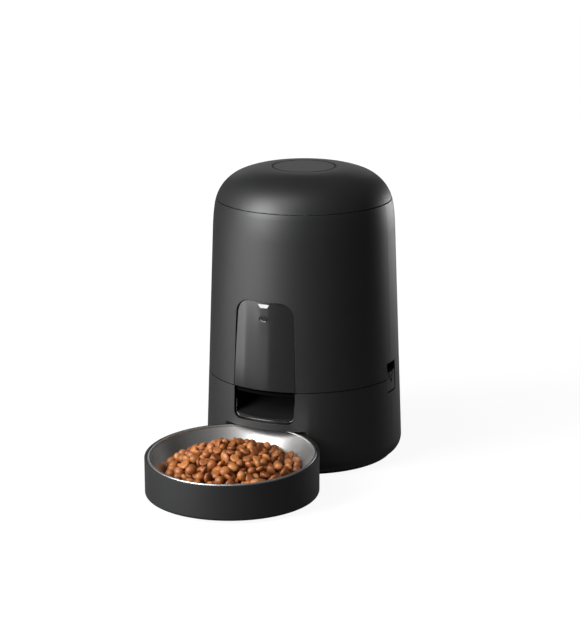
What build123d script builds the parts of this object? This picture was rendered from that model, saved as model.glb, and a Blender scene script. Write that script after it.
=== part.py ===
"""Timed dry-food feeder for a cat or small dog, built up in millimetres.

A drum-shaped base carries the electronics, the drive and the chute.  A food tank with a
dosing rotor stands on it, a domed lid closes the tank, and a steel bowl in a plastic
holder docks under the chute.  The front is -Y, +Z is up, and the origin is the middle of
the footprint on the floor.  Radii and depths are written about the body's own axis.
"""
from math import acos, asin, atan2, cos, degrees, hypot, pi, radians, sin, sqrt, tan
import os

from build123d import *

os.makedirs("parts", exist_ok=True)

# ------------------------------------------------------------------ body form
SEAM_Z = 78.6              # parting line between base and tank
BODY_RADIUS = 88.0         # outer radius at that line
DRAFT = 2.12               # lean of the straight wall, degrees
TAPER_TOP_Z = 214.0        # end of the straight wall
BLEND_RADIUS = 156.0       # slow curve above it
BLEND_END = 9.4            # slope at its end, degrees from upright
SHOULDER_RADIUS = 36.2     # tight curve of the dome
SHOULDER_END = 69.0
CROWN_RADIUS = 79.4        # flat curve of the dome's top
LID_Z = 238.6              # parting line between tank and lid
SEAM_GAP = 0.8             # open line at both partings
WALL = 2.4                 # housing wall
FOOT_HEIGHT = 3.0          # lower edge of the housing above the floor
EDGE_WIDTH = 9.0           # rounding of the base's lower edge, across
EDGE_HEIGHT = 12.0         # and up
EDGE_LIP = 3.0             # inward lip that the bottom cover meets
RIM_HEIGHT = 1.6           # wall standing above the deck
DECK_LEDGE = 2.0           # ledge on the wall that carries the deck
DECK_LEDGE_HALF = 36.0     # it stops this far from the middle in front
SNUG = 0.2                 # play between fixed pieces

# ------------------------------------------------------------------ bowl and its bay
DOCK_DEPTH = 17.5          # how far the holder reaches into the base
HOLDER_RIM = 2.3           # holder's wall outside the steel rim
HOLDER_EDGE = 2.5          # rounding under the holder
BOWL_RADIUS = 74.2         # steel rim
RIM_Z = 38.2               # height of the rim's centre
BOWL_TILT = 2.6            # the rim's back is higher, degrees
BOWL_DEPTH = 27.0
BOWL_FLOOR_RADIUS = 52.0
BOWL_SHEET = 0.8
RIM_BEAD = 1.3             # radius of the rolled rim
HOLDER_CLEARANCE = 1.2     # between steel and plastic
HOLDER_FLOOR_GAP = 2.0     # under the steel bowl
HOLDER_LIP_GAP = 0.5       # beside the steel rim
HOLDER_DROP = 0.6          # holder's edge below the steel rim
UNDER_RECESS = 1.5         # hollow underside
BOWL_CORNER = 12.0         # inside curve from floor to wall
BAY_GAP = 2.6              # around the docked holder
BAY_ROOM = 4.7             # bay's roof above the steel rim
TONGUE_SIDE = 20.0         # tongues that slide into the base when the bowl docks
TONGUE_WIDTH = 9.0
TONGUE_HEIGHT = 4.0
TONGUE_Z = 12.0
TONGUE_SINK = 6.5          # in the holder's wall
TONGUE_REACH = 7.5         # beyond it
DOCK_FIT = 0.2

# ------------------------------------------------------------------ front column
MOUTH_HALF = 30.2          # chute mouth, half width
MOUTH_BOTTOM_Z = 49.1
MOUTH_CORNER = 6.5
PANEL_HALF = 30.2          # control panel, half width at its foot
PANEL_LEAN = 1.8           # its sides close in upwards, degrees
PANEL_TOP_Z = 159.0
PANEL_CORNER = 13.0
PANEL_SLOPE = 3.2          # it leans back more than the wall, degrees
PANEL_WALL = 2.2
PANEL_FLANGE = 1.7
PANEL_DEPTH = 11.8         # back edge of the panel behind the wall's face
PANEL_GAP = 0.6            # around the panel in the tank's wall
BACK_PLATE = 1.7
FOOT_PLATE = 2.4
FOOT_LENGTH = 8.2
FOOT_WIDTH = 53.2
FOOT_SCREW_X = 18.0
FOOT_SCREW_IN = 3.5
BUTTON_DROP = 15.1         # below the panel's top
BUTTON_WIDTH = 8.0
BUTTON_HEIGHT = 4.9
BUTTON_GAP = 0.2
BUTTON_TRAVEL = 0.8
BUTTON_FLANGE = 1.0
SWITCH_SIZE = 6.0
SWITCH_HEIGHT = 0.9
PLUNGER_RADIUS = 1.6
PLUNGER_GAP = 0.05         # left when the button is pressed home
BUTTON_SINK = 0.1
BUTTON_EDGE = 0.4
BUTTON_LIP = 1.5           # flange around the button
BUTTON_BOARD_DROP = 13.9   # below the button
BUTTON_BOARD_WIDTH = 30.0
BUTTON_BOARD_TOP = 1.5     # above the light's middle
LED_WIDTH = 3.4
LED_DEPTH = 2.8
LED_HEIGHT = 1.3
LENS_FIT = 0.1
LENS_DROP = 1.8
LENS_HEIGHT = 3.4
LENS_TOP_WIDTH = 11.2
LENS_BOTTOM_WIDTH = 7.0
BOARD = 1.6                # circuit board thickness
POST_SIDE = 20.0           # screw posts inside the panel
POST_HEIGHTS = (9.0, 43.0) # above the panel's foot
POST_HOLE = 4.0

# ------------------------------------------------------------------ chute
RAMP_START = 0.5           # behind the deck's hole
RAMP_BREAK = (52.0, 60.5)  # depth and height where it flattens
RAMP_LIP_IN = 2.0          # behind the wall's face
RAMP_LIP_RISE = 1.1        # above the mouth's foot
RAMP_BEND = 40.0
CHUTE_WALL = 1.8
TAB_LENGTH = 20.0
TAB_WIDTH = 8.0
TAB_DROP = 9.8             # below the deck
TAB_BACK = 7.0             # first tab screw behind the ramp's start
TAB_STEP = 12.0

# ------------------------------------------------------------------ food tank
HOPPER_SETBACK = 13.0      # bin's inside from the body's outside
HOPPER_WALL = 2.0
CONE_TOP_Z = 190.0
CONE_FOOT = 2.0            # above the chamber's rim
THROAT_LEDGE = 1.0         # covers the chamber's wall
HOPPER_RIM = 2.5
HOPPER_RIM_OUT = 0.6
LEDGE_HEIGHT = 2.0
PLATE = 2.4                # tank floor, also the base's deck
ROTOR_CHAMBER = 62.0
CHAMBER_HEIGHT = 25.4
CHAMBER_STEP = 1.0
CHAMBER_WALL = 2.2
CHAMBER_RIM = 5.6
GUARD = 1.6
GUARD_HALF = 42.0          # half angle of the shield over the outlet
GUARD_IN = 19.2            # inner radius of the shield
GUARD_RIB_IN = 19.7        # stiffening ribs on it
GUARD_RIB_LENGTH = 39.8
OUTLET_IN = 38.0
OUTLET_EDGE = 2.0          # from the chamber's wall
OUTLET_HALF = 28.0         # half angle of the outlet
OUTLET_MARGIN = 1.0        # the deck's hole is this much larger
TANK_FIT = 1.0             # tank floor inside the base's rim
FOOT_ROOM = 1.2            # behind the control column's foot
TANK_SEAT = 0.9            # skin over the heads of the tank's screws
TANK_SCREW = 9.0
HOPPER_BLEND = 10.0        # curve between cone and drum

# ------------------------------------------------------------------ rotor
VANES = 6
VANE_WALL = 2.0
VANE_GAP = 5.0             # from the chamber's wall
WIPER_GAP = 0.4
WIPER_WALL = 1.2
ROTOR_LIFT = 1.2           # vanes above the tank floor
ROTOR_TOP_GAP = 0.6
HUB_RADIUS = 13.2
CONE_RADIUS = 34.5
HUB_TOP_RADIUS = 11.0
SOCKET_DEPTH = 9.0
DOG_RADIUS = 7.4           # hexagon, over its corners
DOG_FIT = 0.3
DOG_FLANGE = 8.4
DOG_HOLE = 9.0
DOG_EDGE = 0.8
DOG_GAP = 3.0              # room above the dog in its socket
DOG_CAP = 3.0              # plastic over the shaft's end
DOG_SINK = 0.6
SOCKET_RING = 1.0
ROTOR_SHOULDER = 4.0
CONE_WALL = 3.0
VANE_ROOT = 1.0            # vane's end inside the hub
STIR_ARMS = 3
STIR_REACH = 34.0
STIR_ARM_RADIUS = 2.6
STIR_SLOPE = 18.0
STIR_CAP = 9.0
STIR_EDGE = 3.0
STIR_ARM_Z = 5.5
STIR_ROOT = 4.0
STIR_TAPER = 1.5

# ------------------------------------------------------------------ gear train
PRESSURE_ANGLE = 25.0
ADDENDUM = 0.9             # in modules
DEDENDUM = 1.2
BACKLASH = 0.12            # taken off each tooth
OUTPUT_MODULE = 1.0
OUTPUT_TEETH = 48
PINION_TEETH = 12
INPUT_MODULE = 0.8
WHEEL_TEETH = 40
MOTOR_TEETH = 12
CASE_GAP = 1.7             # between the case's cover and the deck
CASE_WALL = 1.8
CASE_FLOOR = 2.0
LUG_RADIUS = 4.5
LUG_SETS = ((3.1, -41.2), (2.0, 26.0))  # out from the case's wall, and angle
GEAR_ROOM = 3.0            # around the pitch circles
MOTOR_ROOM = 1.3
FLOOR_GAP = 1.2            # under the wheel
WHEEL_WIDTH = 4.2
WHEEL_GAP = 1.6            # between wheel and output gear
OUTPUT_WIDTH = 6.0
OUTPUT_GAP = 1.5           # over the output gear
COVER = 2.0
SHAFT_RADIUS = 6.0
GEAR_RIM = 4.0
GEAR_HUB = 3.0
GEAR_FOOT = 2.0
RUNNING_FIT = 0.05
JOURNAL_RADIUS = 3.0
IDLER_RADIUS = 1.5
IDLER_BOSS = 3.75
MOTOR_SHAFT_RADIUS = 1.0
MOTOR_RADIUS = 12.2
MOTOR_LENGTH = 31.0
MOTOR_EDGE = 1.0
MOTOR_HOLE = 2.5           # in the case's floor
MOTOR_FIX = 8.0            # its screws, from its axis
MOTOR_FIX_DEPTH = 1.4
SHAFT_END = 1.0            # shaft beyond the pinion
SMALL_HEAD_RADIUS = 2.2
SMALL_HEAD_HEIGHT = 1.0

# ------------------------------------------------------------------ latches
SLOT_HALF = 8.8
SLOT_DROP = 13.2           # below the parting line
SLOT_RISE = 14.6           # and above it
SLIDER_LIFT = 1.3
SLIDER_HEIGHT = 18.0
SLIDER_INSET = 0.4
SLIDER_THICK = 4.0         # inner face of the thumb plate behind the wall's
LATCH_TRAVEL = 8.0
BOLT_TRAVEL = 3.0
PIN_RADIUS = 1.2
PIN_FIT = 0.1
PIN_SET = 2.4              # pin behind the thumb plate, latch open
PIN_RISE = 0.3
RIB_HALF = 1.5
FLANGE_SET = 0.7
FLANGE = 1.2
FLANGE_HALF = 10.7
FLANGE_HEIGHT = 8.0
BOLT_HALF_HEIGHT = 3.0
BOLT_HALF = 6.2
TIP_HALF = 4.0
TIP_HALF_HEIGHT = 2.4
TIP_SET = 13.2             # end of the open bolt behind the thumb plate
KEEPER_GAP = 0.8
KEEPER = 2.4
KEEPER_HALF = 9.0
KEEPER_DEPTH = 15.6
RIB_ROOM = 8.2             # length of the rib's slot in the deck
RIB_WALL = 1.2
RIB_HEAD = 2.0
RIB_FOOT = 1.4
SLIDER_STOCK = 10.0        # block that the thumb plate is turned from
BOLT_HEAD = 1.8
GUIDE_GAP = 0.5
GUIDE_SETBACK = 2.0        # behind the keeper
GUIDE_WALL = 2.0
SLIDE_GAP = 0.3
RIDGE_PITCH = 2.0
RIDGE_HALF = 5.0
RIDGES = 3

# ------------------------------------------------------------------ lid
KNOB_RADIUS = 28.85
KNOB_GAP = 0.45
KNOB_THICK = 3.0
KNOB_SKIRT = 1.8
WELL_DEPTH = 14.865
WELL_WALL = 2.0
STEM_RADIUS = 7.0
BUSH_RADIUS = 9.5
BUSH_RISE = 3.0
KNOB_TRAVEL = 9.5
CLIP_RADIUS = 9.5
CLIP_THICK = 1.6
SPRING_RADIUS = 10.5
SPRING_WIRE = 0.6
SPRING_TURNS = 4
LINER = 2.0
PLUG_GAP = 2.2             # plug inside the bin
PLUG_WALL = 2.0
PLUG_DEPTH = 12.0
SEAL_GAP = 0.3
SEAL_DROP = 8.0
SEAL_HEIGHT = 4.0
SEAL_BEAD = 1.4
CUP_RADIUS = 30.0
GRILLE_FIT = 0.3
GRILLE = 2.0
GRILLE_SLOTS = 12
BAG_RADIUS = 25.0
BAG_HEIGHT = 7.0
LID_SCREW_IN = 13.0        # lid's screws from the bin's wall
LID_SCREW_DEPTH = 10.0
LID_SCREW = 8.0
KNOB_SKIRT_GAP = 2.0       # skirt above the well's floor
KNOB_EDGE = 0.4
STEM_TIP = 0.6             # stem below its clip

# ------------------------------------------------------------------ base inside
COVER_OVERHANG = 0.65      # bottom cover beyond the wall's edge
COVER_LIFT = 0.8
PAD_RADIUS = 8.0
PAD_SETBACK = 22.0
PAD_HEIGHT = 2.0
HOLDER_PAD_RADIUS = 6.0
HOLDER_PAD_SETBACK = 20.5
SCREW_RADIUS = 1.4
HEAD_RADIUS = 2.8
HEAD_HEIGHT = 1.8
HEAD_SEAT = 1.2            # seats in the bottom cover
SCREW_SKIN = 0.8           # plastic left over a blind hole
SCREW_TIP = 0.4            # gap at the end of it
BOTTOM_SCREW = 8.0
BOSS_RADIUS = 4.0
BOSS_SETBACK = 13.0
BOSS_TOP_Z = 24.0
CELL_RADIUS = 9.2
CELL_LENGTH = 65.0
BATTERY_Y = -8.0
TRAY_WALL = 2.0
TRAY_PLAY = 0.5
BOARD_X = -56.0
BOARD_Y = 21.0
BOARD_LENGTH = 49.6
BOARD_HEIGHT = 46.0
BOARD_POST = 6.0
BOARD_POST_DEPTH = 5.0
BOARD_POST_HEIGHT = 18.0
PART_HEIGHT = 3.2          # parts on the board
MODULE_PLACE = (8.0, 8.0)
MODULE_SIZE = (18.0, 25.5)
CHIP_PLACES = ((-14.0, -2.0), (-14.0, 14.0))
CHIP_SIZE = (8.0, 6.0)
CAN_PLACE = (-4.0, -13.0)
CAN_RADIUS = 4.0
PORT_Z = 21.0
PORT_WIDTH = 8.94
PORT_HEIGHT = 3.26
PORT_LENGTH = 7.4
PORT_CLEAR = 2.0
PORT_BOARD = 1.2           # small board under the socket
PORT_BOARD_WIDTH = 16.0
PORT_BOARD_LENGTH = 12.0
PORT_POST = 8.0            # post that carries it
PORT_INSET = 1.0           # socket's mouth behind the wall
PORT_SHELL = 0.3
PORT_BACK_WALL = 1.0
PORT_TONGUE = 6.7
PORT_TONGUE_HEIGHT = 0.7
PORT_TONGUE_INSET = 0.6

# ------------------------------------------------------------------ values that follow
RIM_TOP_Z = SEAM_Z - SEAM_GAP / 2
TANK_Z = SEAM_Z + SEAM_GAP / 2
DECK_Z = RIM_TOP_Z - RIM_HEIGHT
DECK_UNDER = DECK_Z - PLATE
FLOOR_TOP = DECK_Z + PLATE
HOPPER_TOP_Z = LID_Z + SEAM_GAP / 2 - LINER
HOLDER_RADIUS = BOWL_RADIUS + HOLDER_RIM
BOWL_REACH = BODY_RADIUS + HOLDER_RADIUS - DOCK_DEPTH
HOLDER_REACH = BOWL_REACH + HOLDER_RADIUS
HOLDER_PAD_CIRCLE = HOLDER_RADIUS - HOLDER_PAD_SETBACK
BAY_TOP_Z = RIM_Z + BAY_ROOM
TONGUE_ROOT = HOLDER_RADIUS - TONGUE_SINK
TONGUE_END = HOLDER_RADIUS + TONGUE_REACH
PANEL_BACK_DEPTH = BODY_RADIUS - PANEL_DEPTH
FOOT_DEPTH = PANEL_BACK_DEPTH - FOOT_LENGTH
BUTTON_Z = PANEL_TOP_Z - BUTTON_DROP
BUTTON_BOARD_Z = BUTTON_Z - BUTTON_BOARD_DROP
LENS_TOP_Z = PANEL_TOP_Z - LENS_DROP
HOPPER_RADIUS = BODY_RADIUS - HOPPER_SETBACK
THROAT_RADIUS = ROTOR_CHAMBER - THROAT_LEDGE
VANE_RADIUS = ROTOR_CHAMBER - VANE_GAP
WIPER_RADIUS = ROTOR_CHAMBER - WIPER_GAP
OUTLET_OUT = ROTOR_CHAMBER - OUTLET_EDGE
CHAMBER_TOP_Z = FLOOR_TOP + CHAMBER_HEIGHT
CHAMBER_RIM_Z = CHAMBER_TOP_Z + CHAMBER_RIM
CONE_BOTTOM_Z = CHAMBER_RIM_Z + CONE_FOOT
RAMP_BACK = OUTLET_IN - OUTLET_MARGIN - RAMP_START
RAMP_LIP = (BODY_RADIUS - RAMP_LIP_IN, MOUTH_BOTTOM_Z + RAMP_LIP_RISE)
TAB_Z = DECK_UNDER - TAB_DROP
COVER_Z = DECK_UNDER - CASE_GAP - COVER
OUTPUT_Z = COVER_Z - OUTPUT_GAP - OUTPUT_WIDTH
WHEEL_Z = OUTPUT_Z - WHEEL_GAP - WHEEL_WIDTH
CASE_Z = WHEEL_Z - FLOOR_GAP - CASE_FLOOR
SLOT_BOTTOM_Z = SEAM_Z - SLOT_DROP
SLOT_TOP_Z = SEAM_Z + SLOT_RISE
SLIDER_HALF = SLOT_HALF - SLIDE_GAP
SLIDER_BOTTOM_Z = SLOT_BOTTOM_Z + SLIDER_LIFT
SLIDER_BACK = BODY_RADIUS - SLIDER_THICK
PIN_OUT = SLIDER_BACK - PIN_SET
PIN_Z = SLIDER_BOTTOM_Z + PIN_RISE
FLANGE_IN = SLIDER_BACK - FLANGE_SET
FLANGE_OUT = FLANGE_IN + FLANGE
TIP_IN = SLIDER_BACK - TIP_SET
KEEPER_OUT = TIP_IN - KEEPER_GAP
KEEPER_IN = KEEPER_OUT - KEEPER
RIB_SLOT_IN = SLIDER_BACK - RIB_ROOM
LINER_RADIUS = HOPPER_RADIUS + HOPPER_WALL + SNUG
PLUG_RADIUS = HOPPER_RADIUS - PLUG_GAP
SEAL_Z = HOPPER_TOP_Z - SEAL_DROP
LID_SCREW_RADIUS = HOPPER_RADIUS - LID_SCREW_IN
PAD_CIRCLE = BODY_RADIUS - PAD_SETBACK
BOSS_CIRCLE = BODY_RADIUS - BOSS_SETBACK
EDGE_TOP_Z = FOOT_HEIGHT + EDGE_HEIGHT


def body_radius(z):
    """Outer radius of the straight wall."""
    return BODY_RADIUS + (SEAM_Z - z) * tan(radians(DRAFT))


def inner_radius(z):
    return body_radius(z) - WALL


# the footprint's middle is the origin, so the body's axis lies behind it
AXIS_Y = (HOLDER_REACH - body_radius(EDGE_TOP_Z)) / 2
SPIN = Axis((0, AXIS_Y, 0), (0, 0, 1))
SECTION = Plane(origin=(0, AXIS_Y, 0), x_dir=(1, 0, 0), z_dir=(0, -1, 0))
SIDE = Plane(origin=(0, AXIS_Y, 0), x_dir=(0, 1, 0), z_dir=(1, 0, 0))
BOWL_RIM = Plane(origin=(0, AXIS_Y - BOWL_REACH, RIM_Z)).rotated((BOWL_TILT, 0, 0))
BOWL_SECTION = Plane(origin=BOWL_RIM.origin, x_dir=(1, 0, 0), z_dir=-BOWL_RIM.y_dir)
BOWL_AXIS = Axis(BOWL_RIM.origin, BOWL_RIM.z_dir)
SIDES = ((1, "right"), (-1, "left"))

BAY_RADIUS = HOLDER_RADIUS + BAY_GAP
TONGUE_POINTS = [(side * TONGUE_SIDE, AXIS_Y - BOWL_REACH + (TONGUE_ROOT + TONGUE_END) / 2)
                 for side in (-1, 1)]
BLEND_CENTRE = (
    body_radius(TAPER_TOP_Z) - BLEND_RADIUS * cos(radians(DRAFT)),
    TAPER_TOP_Z - BLEND_RADIUS * sin(radians(DRAFT)),
)
SHOULDER_CENTRE = (
    BLEND_CENTRE[0] + (BLEND_RADIUS - SHOULDER_RADIUS) * cos(radians(BLEND_END)),
    BLEND_CENTRE[1] + (BLEND_RADIUS - SHOULDER_RADIUS) * sin(radians(BLEND_END)),
)
CROWN_CENTRE = (
    SHOULDER_CENTRE[0] + (SHOULDER_RADIUS - CROWN_RADIUS) * cos(radians(SHOULDER_END)),
    SHOULDER_CENTRE[1] + (SHOULDER_RADIUS - CROWN_RADIUS) * sin(radians(SHOULDER_END)),
)
CROWN_TOP_Z = CROWN_CENTRE[1] + CROWN_RADIUS
WELL_FLOOR_Z = CROWN_TOP_Z - WELL_DEPTH


def level(z):
    """Flat sketch plane about the body's axis."""
    return Plane(origin=(0, AXIS_Y, z))


def facing(depth):
    """Upright sketch plane in front of the axis; it extrudes towards the front."""
    return Plane(origin=(0, AXIS_Y - depth, 0), x_dir=(1, 0, 0), z_dir=(0, -1, 0))


def shoulder_angle(z, inset=0.0):
    """Angle on the shoulder arc, or on its inset copy, at a height."""
    return degrees(asin((z - SHOULDER_CENTRE[1]) / (SHOULDER_RADIUS - inset)))


def shoulder_point(z, inset=0.0):
    angle = radians(shoulder_angle(z, inset))
    return SHOULDER_CENTRE[0] + (SHOULDER_RADIUS - inset) * cos(angle), z


def arc_point(centre, radius, angle):
    return centre[0] + radius * cos(radians(angle)), centre[1] + radius * sin(radians(angle))


def around(radius, angles):
    """Points on a circle about the open sketch's centre."""
    return [(radius * cos(radians(a)), radius * sin(radians(a))) for a in angles]


def door(half, bottom, top, corner, rounded=-1, lean=0.0):
    """Upright door shape; its head (-1) or its foot (0) has round corners."""
    head = half - (top - bottom) * tan(radians(lean))
    with BuildSketch(mode=Mode.PRIVATE) as shape:
        with BuildLine():
            Polyline((-half, bottom), (half, bottom), (head, top), (-head, top), close=True)
        make_face()
        fillet(shape.vertices().group_by(Axis.Y)[rounded], corner)
    return shape.sketch


def column(grow, bottom):
    """Outline of the control column, grown or shrunk evenly, from a given height up."""
    half = PANEL_HALF + grow / cos(radians(PANEL_LEAN)) - (bottom - TANK_Z) * tan(radians(PANEL_LEAN))
    return door(half, bottom, PANEL_TOP_Z + grow, PANEL_CORNER + grow, lean=PANEL_LEAN)


def sector(inner, outer, half_angle):
    """Ring sector centred on the front."""
    with BuildSketch(mode=Mode.PRIVATE) as shape:
        with BuildLine():
            CenterArc((0, 0), outer, 270 - half_angle, 2 * half_angle)
            CenterArc((0, 0), inner, 270 - half_angle, 2 * half_angle)
            for end in (270 - half_angle, 270 + half_angle):
                Line(arc_point((0, 0), inner, end), arc_point((0, 0), outer, end))
        make_face()
    return shape.sketch


def involute_angle(radius, base):
    """Polar angle that an involute has gained at a radius, radians."""
    ratio = base / radius
    return sqrt(1 / ratio**2 - 1) - acos(ratio)


def gear(teeth, module, phase=0.0):
    """Involute spur gear outline with a tooth centred on the phase angle."""
    pitch = module * teeth / 2
    base = pitch * cos(radians(PRESSURE_ANGLE))
    tip = pitch + ADDENDUM * module
    root = pitch - DEDENDUM * module
    half_tooth = (pi * module / 2 - BACKLASH) / 2 / pitch + involute_angle(pitch, base)
    start = max(base, root)
    radii = [start, start + 0.35 * (tip - start), start + 0.7 * (tip - start), tip]
    flank = [(r, half_tooth - involute_angle(r, base)) for r in radii]

    def at(radius, angle):
        return radius * cos(angle), radius * sin(angle)

    with BuildSketch(mode=Mode.PRIVATE) as shape:
        with BuildLine():
            for tooth in range(teeth):
                middle = radians(phase) + 2 * pi * tooth / teeth
                following = middle + 2 * pi / teeth
                if start > root:
                    for edge in (-1, 1):
                        Line(at(root, middle + edge * flank[0][1]),
                             at(start, middle + edge * flank[0][1]))
                Spline(*[at(r, middle - a) for r, a in flank])
                Line(at(tip, middle - flank[-1][1]), at(tip, middle + flank[-1][1]))
                Spline(*[at(r, middle + a) for r, a in reversed(flank)])
                Line(at(root, middle + flank[0][1]), at(root, following - flank[0][1]))
        make_face()
    return shape.sketch


OUTPUT_PITCH = OUTPUT_MODULE * OUTPUT_TEETH / 2
IDLER_Y = OUTPUT_MODULE * (OUTPUT_TEETH + PINION_TEETH) / 2
MOTOR_Y = IDLER_Y + INPUT_MODULE * (WHEEL_TEETH + MOTOR_TEETH) / 2
MOTOR_POINTS = [(-MOTOR_FIX, MOTOR_Y), (MOTOR_FIX, MOTOR_Y)]
CASE_FLOOR_Z = CASE_Z + CASE_FLOOR
CASE_ROOM = [((0, 0), OUTPUT_PITCH + GEAR_ROOM),
             ((0, IDLER_Y), INPUT_MODULE * WHEEL_TEETH / 2 + GEAR_ROOM),
             ((0, MOTOR_Y), MOTOR_RADIUS + MOTOR_ROOM)]
CASE_LUGS = [(side * (room + CASE_WALL + out) * cos(radians(angle)),
              middle[1] + (room + CASE_WALL + out) * sin(radians(angle)))
             for (middle, room), (out, angle) in zip(CASE_ROOM, LUG_SETS) for side in (-1, 1)]
BOTTOM_ANGLES = [20, 65, 115, 160, 215, 325]
TANK_ANGLES = [32, 90, 148, 215, 325]
CHUTE_HALF = MOUTH_HALF + 0.4


def case_outline(grow):
    """Outline of the gear case around its three gear centres."""
    with BuildSketch(mode=Mode.PRIVATE) as shape:
        for point, radius in CASE_ROOM:
            with Locations(point):
                Circle(radius + grow)
        make_hull()
    return shape.sketch


TAB_MIDDLE = -RAMP_BACK - TAB_BACK - TAB_STEP / 2
TAB_POINTS = [(side * (CHUTE_HALF + CHUTE_WALL + TAB_WIDTH / 2), y) for side in (-1, 1)
              for y in (TAB_MIDDLE + TAB_STEP / 2, TAB_MIDDLE - TAB_STEP / 2)]
FOOT_POINTS = [(side * FOOT_SCREW_X, -FOOT_DEPTH - FOOT_SCREW_IN) for side in (-1, 1)]

# ================================================================== BASE
# ------------------------------------------------------------------ housing
with BuildPart() as base_shell:
    edge_in = body_radius(EDGE_TOP_Z) - EDGE_WIDTH
    with BuildSketch(SECTION):
        with BuildLine():
            EllipticalCenterArc((edge_in, EDGE_TOP_Z), EDGE_WIDTH, EDGE_HEIGHT, 270, arc_size=90)
            Polyline(
                (body_radius(EDGE_TOP_Z), EDGE_TOP_Z),
                (body_radius(RIM_TOP_Z), RIM_TOP_Z),
                (inner_radius(RIM_TOP_Z), RIM_TOP_Z),
                (inner_radius(DECK_UNDER), DECK_UNDER),
                (inner_radius(DECK_UNDER) - DECK_LEDGE, DECK_UNDER),
                (inner_radius(DECK_UNDER), DECK_UNDER - DECK_LEDGE),
                (inner_radius(EDGE_TOP_Z), EDGE_TOP_Z),
            )
            EllipticalCenterArc(
                (edge_in, EDGE_TOP_Z), EDGE_WIDTH - WALL, EDGE_HEIGHT - WALL, 270, arc_size=90
            )
            Polyline(
                (edge_in, FOOT_HEIGHT + WALL),
                (edge_in - EDGE_LIP, FOOT_HEIGHT + WALL),
                (edge_in - EDGE_LIP, FOOT_HEIGHT),
                (edge_in, FOOT_HEIGHT),
            )
        make_face()
    revolve(axis=SPIN)
    # bosses for the screws that hold the bottom cover, each joined to the wall
    with BuildSketch(level(FOOT_HEIGHT + WALL)):
        with Locations(*around(BOSS_CIRCLE, BOTTOM_ANGLES)):
            Circle(BOSS_RADIUS)
    extrude(amount=BOSS_TOP_Z - FOOT_HEIGHT - WALL)
    for angle in BOTTOM_ANGLES:
        with BuildSketch(level(FOOT_HEIGHT + WALL)):
            with PolarLocations(BOSS_CIRCLE + BOSS_RADIUS, 1, start_angle=angle):
                Rectangle(2 * BOSS_RADIUS, WALL)
        extrude(amount=BOSS_TOP_Z - FOOT_HEIGHT - WALL)
    with BuildSketch(level(FOOT_HEIGHT + WALL)):
        with Locations(*around(BOSS_CIRCLE, BOTTOM_ANGLES)):
            Circle(SCREW_RADIUS)
    extrude(amount=BOSS_TOP_Z - FOOT_HEIGHT - 2 * WALL, mode=Mode.SUBTRACT)
    # roof and back wall of the bowl's bay, trimmed to the body's own outline
    bay_wall = BAY_RADIUS + WALL
    with BuildSketch(Plane.XY.offset(FOOT_HEIGHT)):
        with Locations((0, AXIS_Y - BOWL_REACH)):
            Circle(bay_wall)
        with Locations((0, AXIS_Y)):
            Circle(inner_radius(EDGE_TOP_Z) - EDGE_WIDTH / 2, mode=Mode.INTERSECT)
    extrude(amount=BAY_TOP_Z + WALL - FOOT_HEIGHT)
    with BuildSketch(Plane.XY.offset(EDGE_TOP_Z)):
        with Locations((0, AXIS_Y - BOWL_REACH)):
            Circle(bay_wall)
        with Locations((0, AXIS_Y)):
            Circle(inner_radius(BAY_TOP_Z) + WALL / 2, mode=Mode.INTERSECT)
    extrude(amount=BAY_TOP_Z + WALL - EDGE_TOP_Z)
    with BuildSketch(Plane((0, AXIS_Y - BOWL_REACH, 0))):
        Circle(BAY_RADIUS)
    extrude(amount=BAY_TOP_Z, mode=Mode.SUBTRACT)
    # slots for the holder's tongues
    with BuildSketch(Plane.XY.offset(TONGUE_Z - DOCK_FIT)):
        with Locations(*TONGUE_POINTS):
            Rectangle(TONGUE_WIDTH + 2 * DOCK_FIT, TONGUE_END - TONGUE_ROOT)
    extrude(amount=TONGUE_HEIGHT + 2 * DOCK_FIT, mode=Mode.SUBTRACT)
    # chute mouth and the hole in the deck that feeds the chute
    with BuildSketch(facing(PANEL_BACK_DEPTH + BACK_PLATE)):
        add(door(MOUTH_HALF, MOUTH_BOTTOM_Z, RIM_TOP_Z + WALL, MOUTH_CORNER, 0))
    extrude(amount=BODY_RADIUS, mode=Mode.SUBTRACT)
    # the deck's ledge stops short of the chute and of the latches
    with BuildSketch(level(DECK_UNDER - DECK_LEDGE)):
        with Locations((0, -BODY_RADIUS / 2)):
            Rectangle(2 * DECK_LEDGE_HALF, BODY_RADIUS)
        Rectangle(2 * BODY_RADIUS, 2 * (FLANGE_HALF + SLIDE_GAP))
        Circle(inner_radius(DECK_UNDER), mode=Mode.INTERSECT)
    extrude(amount=DECK_LEDGE, mode=Mode.SUBTRACT)
    # latch slots in the wall
    for side, _ in SIDES:
        with BuildSketch(Plane.XY.offset(SLOT_BOTTOM_Z)):
            with Locations((side * BODY_RADIUS, AXIS_Y)):
                Rectangle(2 * (BODY_RADIUS - FLANGE_OUT), 2 * SLOT_HALF)
        extrude(amount=RIM_TOP_Z, mode=Mode.SUBTRACT)
    # opening for the charging plug
    with BuildSketch(facing(-inner_radius(PORT_Z) + 3 * WALL)):
        with Locations((0, PORT_Z)):
            SlotOverall(PORT_WIDTH + 2 * PORT_CLEAR, PORT_HEIGHT + 2 * PORT_CLEAR)
    extrude(amount=-5 * WALL, mode=Mode.SUBTRACT)
base_shell.part.label = "base_shell"
export_step(base_shell.part, "parts/base_shell.step")

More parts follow.
